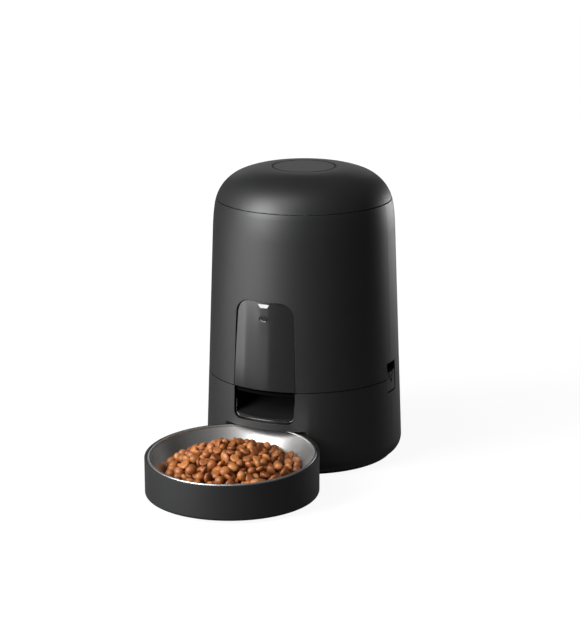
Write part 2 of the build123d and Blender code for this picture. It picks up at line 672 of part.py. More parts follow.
# ------------------------------------------------------------------ deck
with BuildPart() as base_deck:
    with BuildSketch(level(DECK_UNDER)):
        Circle(inner_radius(DECK_Z) - SNUG)
    extrude(amount=PLATE)
    # hole over the chute
    with BuildSketch(level(DECK_UNDER)):
        add(sector(OUTLET_IN - OUTLET_MARGIN, OUTLET_OUT + OUTLET_MARGIN, OUTLET_HALF + 1))
    extrude(amount=PLATE, mode=Mode.SUBTRACT)
    # bosses under the deck for the gear case and for the chute
    with BuildSketch(level(COVER_Z + COVER)):
        with Locations(*CASE_LUGS):
            Circle(BOSS_RADIUS)
    extrude(until=Until.NEXT)
    with BuildSketch(level(TAB_Z + CHUTE_WALL)):
        with Locations(*TAB_POINTS):
            Circle(BOSS_RADIUS - 1)
    extrude(until=Until.NEXT)
    screw_skin = DECK_Z - SCREW_SKIN
    with BuildSketch(level(COVER_Z + COVER)):
        with Locations(*CASE_LUGS):
            Circle(SCREW_RADIUS)
    extrude(amount=screw_skin - COVER_Z - COVER, mode=Mode.SUBTRACT)
    with BuildSketch(level(TAB_Z + CHUTE_WALL)):
        with Locations(*TAB_POINTS):
            Circle(SCREW_RADIUS)
    extrude(amount=screw_skin - TAB_Z - CHUTE_WALL, mode=Mode.SUBTRACT)
    # bearing for the drive shaft, screw holes for the panel's foot
    with BuildSketch(level(COVER_Z + COVER)):
        Circle(SHAFT_RADIUS + RUNNING_FIT + WALL)
    extrude(until=Until.NEXT)
    with BuildSketch(level(COVER_Z)):
        Circle(SHAFT_RADIUS + RUNNING_FIT)
        with Locations(*FOOT_POINTS):
            Circle(SCREW_RADIUS)
    extrude(amount=DECK_Z, mode=Mode.SUBTRACT)
    # room for the latches' flanges and ribs, and slots for the tank's keepers
    for side, _ in SIDES:
        with BuildSketch(Plane.XY.offset(DECK_UNDER)):
            with Locations((side * (FLANGE_IN - SLIDE_GAP + BODY_RADIUS) / 2, AXIS_Y)):
                Rectangle(BODY_RADIUS - FLANGE_IN + SLIDE_GAP, 2 * (FLANGE_HALF + SLIDE_GAP))
            with Locations((side * (RIB_SLOT_IN + SLIDER_BACK) / 2, AXIS_Y)):
                Rectangle(SLIDER_BACK - RIB_SLOT_IN, 2 * (RIB_HALF + SLIDE_GAP))
            with Locations((side * (KEEPER_IN + KEEPER_OUT) / 2, AXIS_Y)):
                Rectangle(KEEPER_OUT - KEEPER_IN + 2 * SLIDE_GAP, 2 * (KEEPER_HALF + SLIDE_GAP))
        extrude(amount=PLATE, mode=Mode.SUBTRACT)
base_deck.part.label = "base_deck"
export_step(base_deck.part, "parts/base_deck.step")

# ------------------------------------------------------------------ bottom cover, pads, screws
HEAD_SEAT_Z = COVER_LIFT + HEAD_SEAT
with BuildPart() as bottom_cover:
    spigot = edge_in - EDGE_LIP - SNUG
    with BuildSketch(level(COVER_LIFT)):
        Circle(edge_in + COVER_OVERHANG)
    extrude(amount=FOOT_HEIGHT - COVER_LIFT)
    with BuildSketch(level(FOOT_HEIGHT)):
        Circle(spigot)
        Circle(spigot - WALL, mode=Mode.SUBTRACT)
    extrude(amount=WALL)
    # ribs that hold the battery, the main board and the charging port
    with BuildSketch(level(FOOT_HEIGHT)):
        with Locations((0, BATTERY_Y)):
            for grow, mode in ((TRAY_PLAY + TRAY_WALL, Mode.ADD), (TRAY_PLAY, Mode.SUBTRACT)):
                Rectangle(CELL_LENGTH + 2 * grow, 4 * CELL_RADIUS + 2 * grow, mode=mode)
    extrude(amount=CELL_RADIUS)
    with BuildSketch(level(FOOT_HEIGHT)):
        for end in (-1, 1):
            with Locations((BOARD_X, BOARD_Y + end * (BOARD_LENGTH / 2 + SNUG))):
                Rectangle(BOARD_POST, BOARD_POST_DEPTH)
        with Locations((BOARD_X, BOARD_Y)):
            Rectangle(BOARD, BOARD_LENGTH + 2 * SNUG, mode=Mode.SUBTRACT)
    extrude(amount=BOARD_POST_HEIGHT)
    with BuildSketch(level(FOOT_HEIGHT)):
        with Locations((0, spigot - COVER_LIFT - PORT_POST / 2)):
            Rectangle(PORT_BOARD_WIDTH, PORT_POST)
    extrude(amount=PORT_Z - PORT_HEIGHT / 2 - PORT_BOARD - FOOT_HEIGHT)
    # cut for the bay, pockets for the pads, seats for the screws
    with BuildSketch(Plane((0, AXIS_Y - BOWL_REACH, 0))):
        Circle(BAY_RADIUS)
    extrude(amount=BAY_TOP_Z, mode=Mode.SUBTRACT)
    with BuildSketch(Plane((0, AXIS_Y - BOWL_REACH, FOOT_HEIGHT))):
        Circle(bay_wall + SNUG)
    extrude(amount=BAY_TOP_Z, mode=Mode.SUBTRACT)
    with BuildSketch(level(COVER_LIFT)):
        with PolarLocations(PAD_CIRCLE, 4, start_angle=45):
            Circle(PAD_RADIUS)
    extrude(amount=PAD_HEIGHT - COVER_LIFT, mode=Mode.SUBTRACT)
    with BuildSketch(level(COVER_LIFT)):
        with Locations(*around(BOSS_CIRCLE, BOTTOM_ANGLES)):
            Circle(SCREW_RADIUS)
    extrude(amount=2 * WALL + FOOT_HEIGHT, mode=Mode.SUBTRACT)
    with BuildSketch(level(COVER_LIFT)):
        with Locations(*around(BOSS_CIRCLE, BOTTOM_ANGLES)):
            Circle(HEAD_RADIUS)
    extrude(amount=HEAD_SEAT_Z - COVER_LIFT, mode=Mode.SUBTRACT)
    with BuildSketch(level(FOOT_HEIGHT)):
        with Locations(*around(BOSS_CIRCLE, BOTTOM_ANGLES)):
            Circle(BOSS_RADIUS + SLIDE_GAP)
    extrude(amount=WALL + 1, mode=Mode.SUBTRACT)
bottom_cover.part.label = "bottom_cover"
export_step(bottom_cover.part, "parts/bottom_cover.step")

with BuildPart() as base_pads:
    with BuildSketch(level(0)):
        with PolarLocations(PAD_CIRCLE, 4, start_angle=45):
            Circle(PAD_RADIUS)
    extrude(amount=PAD_HEIGHT)
    fillet(base_pads.faces().sort_by(Axis.Z).group_by(Axis.Z)[0].edges(), PAD_HEIGHT / 4)
base_pads.part.label = "base_pads"
export_step(base_pads.part, "parts/base_pads.step")

with BuildPart() as bottom_screws:
    with BuildSketch(level(COVER_LIFT)):
        with Locations(*around(BOSS_CIRCLE, BOTTOM_ANGLES)):
            Circle(HEAD_RADIUS - SNUG)
            RegularPolygon(SCREW_RADIUS, 6, mode=Mode.SUBTRACT)
    extrude(amount=HEAD_SEAT)
    with BuildSketch(level(HEAD_SEAT_Z - HEAD_SEAT / 2)):
        with Locations(*around(BOSS_CIRCLE, BOTTOM_ANGLES)):
            Circle(SCREW_RADIUS)
    extrude(amount=BOTTOM_SCREW)
bottom_screws.part.label = "bottom_screws"
export_step(bottom_screws.part, "parts/bottom_screws.step")

# ------------------------------------------------------------------ chute
with BuildPart() as chute:
    with BuildSketch(SIDE):
        with BuildLine():
            FilletPolyline(
                (-RAMP_BACK, DECK_UNDER + WALL),
                (-RAMP_BREAK[0], RAMP_BREAK[1]),
                (-RAMP_LIP[0] - WALL, RAMP_LIP[1]),
                radius=RAMP_BEND,
            )
            Polyline(
                (-RAMP_LIP[0] - WALL, RAMP_LIP[1]),
                (-RAMP_LIP[0] - WALL, DECK_UNDER + WALL),
                (-RAMP_BACK, DECK_UNDER + WALL),
            )
        make_face()
        offset(amount=CHUTE_WALL, kind=Kind.INTERSECTION)
    extrude(amount=CHUTE_HALF + CHUTE_WALL, both=True)
    with BuildSketch(SIDE):
        with BuildLine():
            FilletPolyline(
                (-RAMP_BACK, DECK_UNDER + WALL),
                (-RAMP_BREAK[0], RAMP_BREAK[1]),
                (-RAMP_LIP[0] - 5 * WALL, RAMP_LIP[1]),
                radius=RAMP_BEND,
            )
            Polyline(
                (-RAMP_LIP[0] - 5 * WALL, RAMP_LIP[1]),
                (-RAMP_LIP[0] - 5 * WALL, DECK_Z + WALL),
                (-RAMP_BACK, DECK_Z + WALL),
                (-RAMP_BACK, DECK_UNDER + WALL),
            )
        make_face()
    extrude(amount=CHUTE_HALF, both=True, mode=Mode.SUBTRACT)
    # screw tabs beside the channel
    with BuildSketch(level(TAB_Z)):
        with Locations(*[(side * (CHUTE_HALF + CHUTE_WALL + TAB_WIDTH / 2), TAB_MIDDLE)
                         for side in (-1, 1)]):
            Rectangle(TAB_WIDTH, TAB_LENGTH)
        with Locations(*TAB_POINTS):
            Circle(SCREW_RADIUS, mode=Mode.SUBTRACT)
    extrude(amount=CHUTE_WALL)
    # trimmed under the deck and inside the wall
    with BuildSketch(SECTION):
        with BuildLine():
            Polyline(
                (0, FOOT_HEIGHT),
                (inner_radius(FOOT_HEIGHT) - SLIDE_GAP, FOOT_HEIGHT),
                (inner_radius(DECK_UNDER) - SLIDE_GAP, DECK_UNDER),
                (0, DECK_UNDER),
                close=True,
            )
        make_face()
    revolve(axis=SPIN, mode=Mode.INTERSECT)
chute.part.label = "chute"
export_step(chute.part, "parts/chute.step")

with BuildPart() as chute_screws:
    with BuildSketch(level(TAB_Z - HEAD_HEIGHT)):
        with Locations(*TAB_POINTS):
            Circle(HEAD_RADIUS)
            RegularPolygon(SCREW_RADIUS, 6, mode=Mode.SUBTRACT)
    extrude(amount=HEAD_HEIGHT)
    with BuildSketch(level(TAB_Z - HEAD_HEIGHT / 2)):
        with Locations(*TAB_POINTS):
            Circle(SCREW_RADIUS)
    extrude(amount=screw_skin - TAB_Z - SCREW_TIP)
chute_screws.part.label = "chute_screws"
export_step(chute_screws.part, "parts/chute_screws.step")

# ------------------------------------------------------------------ gear case
with BuildPart() as gear_case:
    with BuildSketch(level(CASE_Z)):
        add(case_outline(CASE_WALL))
        with Locations(*CASE_LUGS):
            Circle(LUG_RADIUS)
    extrude(amount=COVER_Z - CASE_Z)
    with BuildSketch(level(CASE_FLOOR_Z)):
        add(case_outline(0))
        with Locations(*CASE_LUGS):
            Circle(BOSS_RADIUS, mode=Mode.SUBTRACT)
    extrude(amount=COVER_Z, mode=Mode.SUBTRACT)
    with BuildSketch(level(CASE_Z)):
        Circle(JOURNAL_RADIUS + RUNNING_FIT)
        with Locations((0, IDLER_Y)):
            Circle(IDLER_RADIUS)
        with Locations((0, MOTOR_Y)):
            Circle(MOTOR_HOLE)
        with Locations(*CASE_LUGS, *MOTOR_POINTS):
            Circle(SCREW_RADIUS)
    extrude(amount=COVER_Z, mode=Mode.SUBTRACT)
gear_case.part.label = "gear_case"
export_step(gear_case.part, "parts/gear_case.step")

with BuildPart() as gear_case_cover:
    with BuildSketch(level(COVER_Z)):
        add(case_outline(CASE_WALL))
        with Locations(*CASE_LUGS):
            Circle(LUG_RADIUS)
            Circle(SCREW_RADIUS, mode=Mode.SUBTRACT)
        Circle(SHAFT_RADIUS + RUNNING_FIT, mode=Mode.SUBTRACT)
        with Locations((0, IDLER_Y)):
            Circle(IDLER_RADIUS, mode=Mode.SUBTRACT)
    extrude(amount=COVER)
gear_case_cover.part.label = "gear_case_cover"
export_step(gear_case_cover.part, "parts/gear_case_cover.step")

with BuildPart() as gear_case_screws:
    with BuildSketch(level(CASE_Z - HEAD_HEIGHT)):
        with Locations(*CASE_LUGS):
            Circle(HEAD_RADIUS)
            RegularPolygon(SCREW_RADIUS, 6, mode=Mode.SUBTRACT)
    extrude(amount=HEAD_HEIGHT)
    with BuildSketch(level(CASE_Z - HEAD_HEIGHT / 2)):
        with Locations(*CASE_LUGS):
            Circle(SCREW_RADIUS)
    extrude(amount=screw_skin - CASE_Z - SCREW_TIP + HEAD_HEIGHT / 2)
gear_case_screws.part.label = "gear_case_screws"
export_step(gear_case_screws.part, "parts/gear_case_screws.step")

# ------------------------------------------------------------------ motor and gears
with BuildPart() as motor:
    with BuildSketch(level(CASE_Z - MOTOR_LENGTH)):
        with Locations((0, MOTOR_Y)):
            Circle(MOTOR_RADIUS)
    extrude(amount=MOTOR_LENGTH)
    chamfer(motor.edges().filter_by(GeomType.CIRCLE).sort_by(Axis.Z)[0], MOTOR_EDGE)
    with BuildSketch(level(CASE_Z - MOTOR_FIX_DEPTH)):
        with Locations((0, MOTOR_Y)):
            Circle(MOTOR_SHAFT_RADIUS + RUNNING_FIT)
        with Locations(*MOTOR_POINTS):
            Circle(SCREW_RADIUS)
    extrude(amount=MOTOR_FIX_DEPTH, mode=Mode.SUBTRACT)
motor.part.label = "motor"
export_step(motor.part, "parts/motor.step")

with BuildPart() as motor_screws:
    with BuildSketch(level(CASE_FLOOR_Z)):
        with Locations(*MOTOR_POINTS):
            Circle(SMALL_HEAD_RADIUS)
    extrude(amount=SMALL_HEAD_HEIGHT)
    with BuildSketch(level(CASE_FLOOR_Z)):
        with Locations(*MOTOR_POINTS):
            Circle(SCREW_RADIUS)
    extrude(amount=-CASE_FLOOR - MOTOR_FIX_DEPTH + SNUG)
motor_screws.part.label = "motor_screws"
export_step(motor_screws.part, "parts/motor_screws.step")

with BuildPart() as motor_pinion:
    with BuildSketch(level(WHEEL_Z - SNUG)):
        with Locations((0, MOTOR_Y)):
            add(gear(MOTOR_TEETH, INPUT_MODULE, 180 / MOTOR_TEETH))
            Circle(MOTOR_SHAFT_RADIUS, mode=Mode.SUBTRACT)
    extrude(amount=WHEEL_WIDTH + 2 * SNUG)
motor_pinion.part.label = "motor_pinion"
export_step(motor_pinion.part, "parts/motor_pinion.step")

with BuildPart() as motor_shaft:
    with BuildSketch(level(CASE_Z - MOTOR_FIX_DEPTH + SNUG)):
        with Locations((0, MOTOR_Y)):
            Circle(MOTOR_SHAFT_RADIUS)
    extrude(amount=WHEEL_Z + WHEEL_WIDTH + SHAFT_END - CASE_Z + MOTOR_FIX_DEPTH - SNUG)
motor_shaft.part.label = "motor_shaft"
export_step(motor_shaft.part, "parts/motor_shaft.step")

with BuildPart() as idler_gear:
    with BuildSketch(level(WHEEL_Z)):
        with Locations((0, IDLER_Y)):
            add(gear(WHEEL_TEETH, INPUT_MODULE))
    extrude(amount=WHEEL_WIDTH)
    with BuildSketch(level(WHEEL_Z + WHEEL_WIDTH)):
        with Locations((0, IDLER_Y)):
            add(gear(PINION_TEETH, OUTPUT_MODULE, 180 / PINION_TEETH))
    extrude(amount=OUTPUT_Z + OUTPUT_WIDTH - WHEEL_Z - WHEEL_WIDTH)
    with BuildSketch(level(CASE_FLOOR_Z + SNUG)):
        with Locations((0, IDLER_Y)):
            Circle(IDLER_BOSS)
    extrude(amount=WHEEL_Z - CASE_FLOOR_Z - SNUG)
    with BuildSketch(level(CASE_Z)):
        with Locations((0, IDLER_Y)):
            Circle(IDLER_RADIUS + RUNNING_FIT)
    extrude(amount=COVER_Z, mode=Mode.SUBTRACT)
idler_gear.part.label = "idler_gear"
export_step(idler_gear.part, "parts/idler_gear.step")

with BuildPart() as idler_pin:
    with BuildSketch(level(CASE_Z)):
        with Locations((0, IDLER_Y)):
            Circle(IDLER_RADIUS)
    extrude(amount=COVER_Z + COVER - CASE_Z)
idler_pin.part.label = "idler_pin"
export_step(idler_pin.part, "parts/idler_pin.step")

DOG_Z = DECK_Z + SNUG
DOG_TOP_Z = FLOOR_TOP + SOCKET_DEPTH - DOG_GAP
with BuildPart() as output_gear:
    with BuildSketch(level(OUTPUT_Z)):
        add(gear(OUTPUT_TEETH, OUTPUT_MODULE, 90))
    extrude(amount=OUTPUT_WIDTH)
    # lightening ring between rim and hub, as a moulded gear has
    with BuildSketch(level(OUTPUT_Z + OUTPUT_WIDTH)):
        Circle(OUTPUT_PITCH - GEAR_RIM)
        Circle(SHAFT_RADIUS + GEAR_HUB, mode=Mode.SUBTRACT)
    extrude(amount=-OUTPUT_WIDTH / 3, mode=Mode.SUBTRACT)
    with BuildSketch(level(CASE_FLOOR_Z + SNUG)):
        Circle(SHAFT_RADIUS + GEAR_FOOT)
    extrude(amount=OUTPUT_Z - CASE_FLOOR_Z - SNUG)
    with BuildSketch(level(CASE_Z + 2 * SNUG)):
        Circle(JOURNAL_RADIUS)
    extrude(amount=CASE_FLOOR)
    with BuildSketch(level(OUTPUT_Z + OUTPUT_WIDTH)):
        Circle(SHAFT_RADIUS)
    extrude(amount=DOG_Z - OUTPUT_Z - OUTPUT_WIDTH)
    with BuildSketch(level(DOG_Z)):
        Circle(SHAFT_RADIUS / 2)
    extrude(amount=DOG_TOP_Z - DOG_Z - DOG_CAP)
output_gear.part.label = "output_gear"
export_step(output_gear.part, "parts/output_gear.step")

with BuildPart() as drive_dog:
    with BuildSketch(level(DOG_Z)):
        Circle(DOG_FLANGE)
    extrude(amount=FLOOR_TOP - DOG_Z - DOG_SINK)
    with BuildSketch(level(FLOOR_TOP - DOG_SINK)):
        RegularPolygon(DOG_RADIUS, 6)
    extrude(amount=DOG_TOP_Z - FLOOR_TOP + DOG_SINK)
    chamfer(drive_dog.faces().sort_by(Axis.Z)[-1].edges(), DOG_EDGE)
    with BuildSketch(level(DOG_Z)):
        Circle(SHAFT_RADIUS / 2)
    extrude(amount=DOG_TOP_Z - DOG_Z - DOG_CAP, mode=Mode.SUBTRACT)
drive_dog.part.label = "drive_dog"
export_step(drive_dog.part, "parts/drive_dog.step")

# ------------------------------------------------------------------ power and electronics
with BuildPart() as battery_pack:
    with BuildSketch(Plane(origin=(-CELL_LENGTH / 2, AXIS_Y + BATTERY_Y, FOOT_HEIGHT + CELL_RADIUS),
                           x_dir=(0, 1, 0), z_dir=(1, 0, 0))):
        SlotOverall(4 * CELL_RADIUS, 2 * CELL_RADIUS)
    extrude(amount=CELL_LENGTH)
battery_pack.part.label = "battery_pack"
export_step(battery_pack.part, "parts/battery_pack.step")

with BuildPart() as main_board:
    with BuildSketch(level(FOOT_HEIGHT)):
        with Locations((BOARD_X, BOARD_Y)):
            Rectangle(BOARD, BOARD_LENGTH)
    extrude(amount=BOARD_HEIGHT)
main_board.part.label = "main_board"
export_step(main_board.part, "parts/main_board.step")

with BuildPart() as board_parts:
    with BuildSketch(Plane(origin=(BOARD_X + BOARD / 2, AXIS_Y + BOARD_Y,
                                   FOOT_HEIGHT + BOARD_HEIGHT / 2),
                           x_dir=(0, 1, 0), z_dir=(1, 0, 0))):
        with Locations(MODULE_PLACE):
            Rectangle(*MODULE_SIZE)
        with Locations(*CHIP_PLACES):
            Rectangle(*CHIP_SIZE)
        with Locations(CAN_PLACE):
            Circle(CAN_RADIUS)
    extrude(amount=PART_HEIGHT)
board_parts.part.label = "board_parts"
export_step(board_parts.part, "parts/board_parts.step")

with BuildPart() as charging_port:
    port_back = inner_radius(PORT_Z) - PORT_INSET - PORT_LENGTH
    with BuildSketch(facing(-port_back)):
        with Locations((0, PORT_Z)):
            SlotOverall(PORT_WIDTH, PORT_HEIGHT)
    extrude(amount=-PORT_LENGTH)
    with BuildSketch(facing(-port_back - PORT_BACK_WALL)):
        with Locations((0, PORT_Z)):
            SlotOverall(PORT_WIDTH - 2 * PORT_SHELL, PORT_HEIGHT - 2 * PORT_SHELL)
    extrude(amount=-PORT_LENGTH, mode=Mode.SUBTRACT)
    with BuildSketch(facing(-port_back)):
        with Locations((0, PORT_Z)):
            Rectangle(PORT_TONGUE, PORT_TONGUE_HEIGHT)
    extrude(amount=-PORT_LENGTH + PORT_TONGUE_INSET)
    with BuildSketch(level(PORT_Z - PORT_HEIGHT / 2)):
        with Locations((0, port_back)):
            Rectangle(PORT_BOARD_WIDTH, PORT_BOARD_LENGTH)
    extrude(amount=-PORT_BOARD)
charging_port.part.label = "charging_port"
export_step(charging_port.part, "parts/charging_port.step")

# ------------------------------------------------------------------ control column
def panel_radius(z):
    """Outer radius of the control panel, which leans back from the wall."""
    return BODY_RADIUS - (z - SEAM_Z) * tan(radians(PANEL_SLOPE))


PANEL_BOTTOM_Z = TANK_Z
PANEL_HEAD_Z = PANEL_TOP_Z + WALL
LENS_Z = LENS_TOP_Z - LENS_HEIGHT / 2
BOARD_FACE = PANEL_BACK_DEPTH + BOARD
POST_POINTS = [(side * POST_SIDE, PANEL_BOTTOM_Z + up) for side in (-1, 1) for up in POST_HEIGHTS]
# hollow behind the panel, open at the back, with posts left standing for the screws
with BuildPart() as panel_hollow:
    with BuildSketch(facing(PANEL_BACK_DEPTH)):
        add(column(-PANEL_FLANGE, PANEL_BOTTOM_Z + PANEL_FLANGE))
    extrude(amount=BODY_RADIUS - PANEL_BACK_DEPTH)
    with BuildSketch(SECTION):
        with BuildLine():
            Polyline(
                (0, DECK_Z),
                (panel_radius(DECK_Z) - PANEL_WALL, DECK_Z),
                (panel_radius(PANEL_HEAD_Z) - PANEL_WALL, PANEL_HEAD_Z),
                (0, PANEL_HEAD_Z),
                close=True,
            )
        make_face()
    revolve(axis=SPIN, mode=Mode.INTERSECT)
    with BuildSketch(facing(PANEL_BACK_DEPTH)):
        with Locations(*POST_POINTS):
            Circle(BOSS_RADIUS - 1)
    extrude(amount=BODY_RADIUS - PANEL_BACK_DEPTH, mode=Mode.SUBTRACT)

with BuildPart() as front_panel:
    with BuildSketch(facing(PANEL_BACK_DEPTH)):
        add(column(0, PANEL_BOTTOM_Z))
    extrude(amount=BODY_RADIUS - PANEL_BACK_DEPTH + 1)
    # the outer face lies on a cone about the body's axis
    with BuildSketch(SECTION):
        with BuildLine():
            Polyline(
                (0, DECK_Z),
                (panel_radius(DECK_Z), DECK_Z),
                (panel_radius(PANEL_HEAD_Z), PANEL_HEAD_Z),
                (0, PANEL_HEAD_Z),
                close=True,
            )
        make_face()
    revolve(axis=SPIN, mode=Mode.INTERSECT)
    add(panel_hollow.part, mode=Mode.SUBTRACT)
    with BuildSketch(facing(PANEL_BACK_DEPTH)):
        with Locations(*POST_POINTS):
            Circle(SCREW_RADIUS)
    extrude(amount=POST_HOLE, mode=Mode.SUBTRACT)
    # window of the status light and the button's hole
    with BuildSketch(facing(PANEL_BACK_DEPTH + BACK_PLATE)):
        with BuildLine():
            Polyline(
                (-LENS_TOP_WIDTH / 2, LENS_TOP_Z),
                (LENS_TOP_WIDTH / 2, LENS_TOP_Z),
                (LENS_BOTTOM_WIDTH / 2, LENS_TOP_Z - LENS_HEIGHT),
                (-LENS_BOTTOM_WIDTH / 2, LENS_TOP_Z - LENS_HEIGHT),
                close=True,
            )
        make_face()
        with Locations((0, BUTTON_Z)):
            SlotOverall(BUTTON_WIDTH + 2 * BUTTON_GAP, BUTTON_HEIGHT + 2 * BUTTON_GAP)
    extrude(amount=BODY_RADIUS, mode=Mode.SUBTRACT)
front_panel.part.label = "front_panel"
export_step(front_panel.part, "parts/front_panel.step")

with BuildPart() as panel_back:
    with BuildSketch(facing(PANEL_BACK_DEPTH - BACK_PLATE)):
        add(column(0, DECK_Z))
    extrude(amount=BACK_PLATE)
    with BuildSketch(level(DECK_Z)):
        with Locations((0, -(PANEL_BACK_DEPTH + FOOT_DEPTH) / 2)):
            Rectangle(FOOT_WIDTH, PANEL_BACK_DEPTH - FOOT_DEPTH)
    extrude(amount=FOOT_PLATE)
    with BuildSketch(level(DECK_Z)):
        with Locations(*FOOT_POINTS):
            Circle(SCREW_RADIUS)
    extrude(amount=FOOT_PLATE, mode=Mode.SUBTRACT)
    with BuildSketch(facing(PANEL_BACK_DEPTH - BACK_PLATE)):
        with Locations(*POST_POINTS):
            Circle(SCREW_RADIUS)
    extrude(amount=BACK_PLATE, mode=Mode.SUBTRACT)
panel_back.part.label = "panel_back"
export_step(panel_back.part, "parts/panel_back.step")

with BuildPart() as panel_screws:
    with BuildSketch(facing(PANEL_BACK_DEPTH - BACK_PLATE)):
        with Locations(*POST_POINTS):
            Circle(HEAD_RADIUS)
            RegularPolygon(SCREW_RADIUS, 6, mode=Mode.SUBTRACT)
    extrude(amount=-HEAD_HEIGHT)
    with BuildSketch(facing(PANEL_BACK_DEPTH - BACK_PLATE - HEAD_HEIGHT / 2)):
        with Locations(*POST_POINTS):
            Circle(SCREW_RADIUS)
    extrude(amount=HEAD_HEIGHT / 2 + BACK_PLATE + POST_HOLE - SCREW_TIP)
    with BuildSketch(level(DECK_Z + FOOT_PLATE)):
        with Locations(*FOOT_POINTS):
            Circle(HEAD_RADIUS)
            RegularPolygon(SCREW_RADIUS, 6, mode=Mode.SUBTRACT)
    extrude(amount=HEAD_HEIGHT)
    with BuildSketch(level(DECK_Z + FOOT_PLATE + HEAD_HEIGHT / 2)):
        with Locations(*FOOT_POINTS):
            Circle(SCREW_RADIUS)
    extrude(amount=-HEAD_HEIGHT / 2 - FOOT_PLATE - PLATE)
panel_screws.part.label = "panel_screws"
export_step(panel_screws.part, "parts/panel_screws.step")

with BuildPart() as status_lens:
    with BuildSketch(facing(BOARD_FACE + LED_HEIGHT + LENS_FIT)):
        with BuildLine():
            Polyline(
                (LENS_FIT - LENS_TOP_WIDTH / 2, LENS_TOP_Z - LENS_FIT),
                (LENS_TOP_WIDTH / 2 - LENS_FIT, LENS_TOP_Z - LENS_FIT),
                (LENS_BOTTOM_WIDTH / 2 - LENS_FIT, LENS_TOP_Z - LENS_HEIGHT + LENS_FIT),
                (LENS_FIT - LENS_BOTTOM_WIDTH / 2, LENS_TOP_Z - LENS_HEIGHT + LENS_FIT),
                close=True,
            )
        make_face()
    extrude(amount=panel_radius(LENS_Z) - BOARD_FACE - LED_HEIGHT - LENS_FIT)
status_lens.part.label = "status_lens"
export_step(status_lens.part, "parts/status_lens.step")

BUTTON_FACE = panel_radius(BUTTON_Z)
BUTTON_BACK = BUTTON_FACE - PANEL_WALL - BUTTON_FLANGE - SLIDE_GAP
with BuildPart() as feed_button:
    with BuildSketch(facing(BUTTON_FACE - PANEL_WALL - BUTTON_FLANGE)):
        with Locations((0, BUTTON_Z)):
            SlotOverall(BUTTON_WIDTH, BUTTON_HEIGHT)
    extrude(amount=PANEL_WALL + BUTTON_FLANGE - BUTTON_SINK)
    fillet(feed_button.faces().sort_by(Axis.Y)[0].edges(), BUTTON_EDGE)
    with BuildSketch(facing(BUTTON_BACK)):
        with Locations((0, BUTTON_Z)):
            SlotOverall(BUTTON_WIDTH + 2 * BUTTON_LIP, BUTTON_HEIGHT + 2 * BUTTON_LIP)
    extrude(amount=BUTTON_FLANGE)
feed_button.part.label = "feed_button"
export_step(feed_button.part, "parts/feed_button.step")

with BuildPart() as button_board:
    with BuildSketch(facing(PANEL_BACK_DEPTH)):
        with Locations((0, (LENS_Z + BUTTON_BOARD_TOP + BUTTON_BOARD_Z) / 2)):
            Rectangle(BUTTON_BOARD_WIDTH, LENS_Z + BUTTON_BOARD_TOP - BUTTON_BOARD_Z)
    extrude(amount=BOARD)
button_board.part.label = "button_board"
export_step(button_board.part, "parts/button_board.step")

with BuildPart() as button_switch:
    with BuildSketch(facing(BOARD_FACE)):
        with Locations((0, BUTTON_Z)):
            Rectangle(SWITCH_SIZE, SWITCH_SIZE)
    extrude(amount=SWITCH_HEIGHT)
    with BuildSketch(facing(BOARD_FACE + SWITCH_HEIGHT)):
        with Locations((0, BUTTON_Z)):
            Circle(PLUNGER_RADIUS)
    extrude(amount=BUTTON_BACK - BUTTON_TRAVEL - PLUNGER_GAP - BOARD_FACE - SWITCH_HEIGHT)
button_switch.part.label = "button_switch"
export_step(button_switch.part, "parts/button_switch.step")

with BuildPart() as status_led:
    with BuildSketch(facing(BOARD_FACE)):
        with Locations((0, LENS_Z)):
            Rectangle(LED_WIDTH, LED_DEPTH)
    extrude(amount=LED_HEIGHT)
status_led.part.label = "status_led"
export_step(status_led.part, "parts/status_led.step")

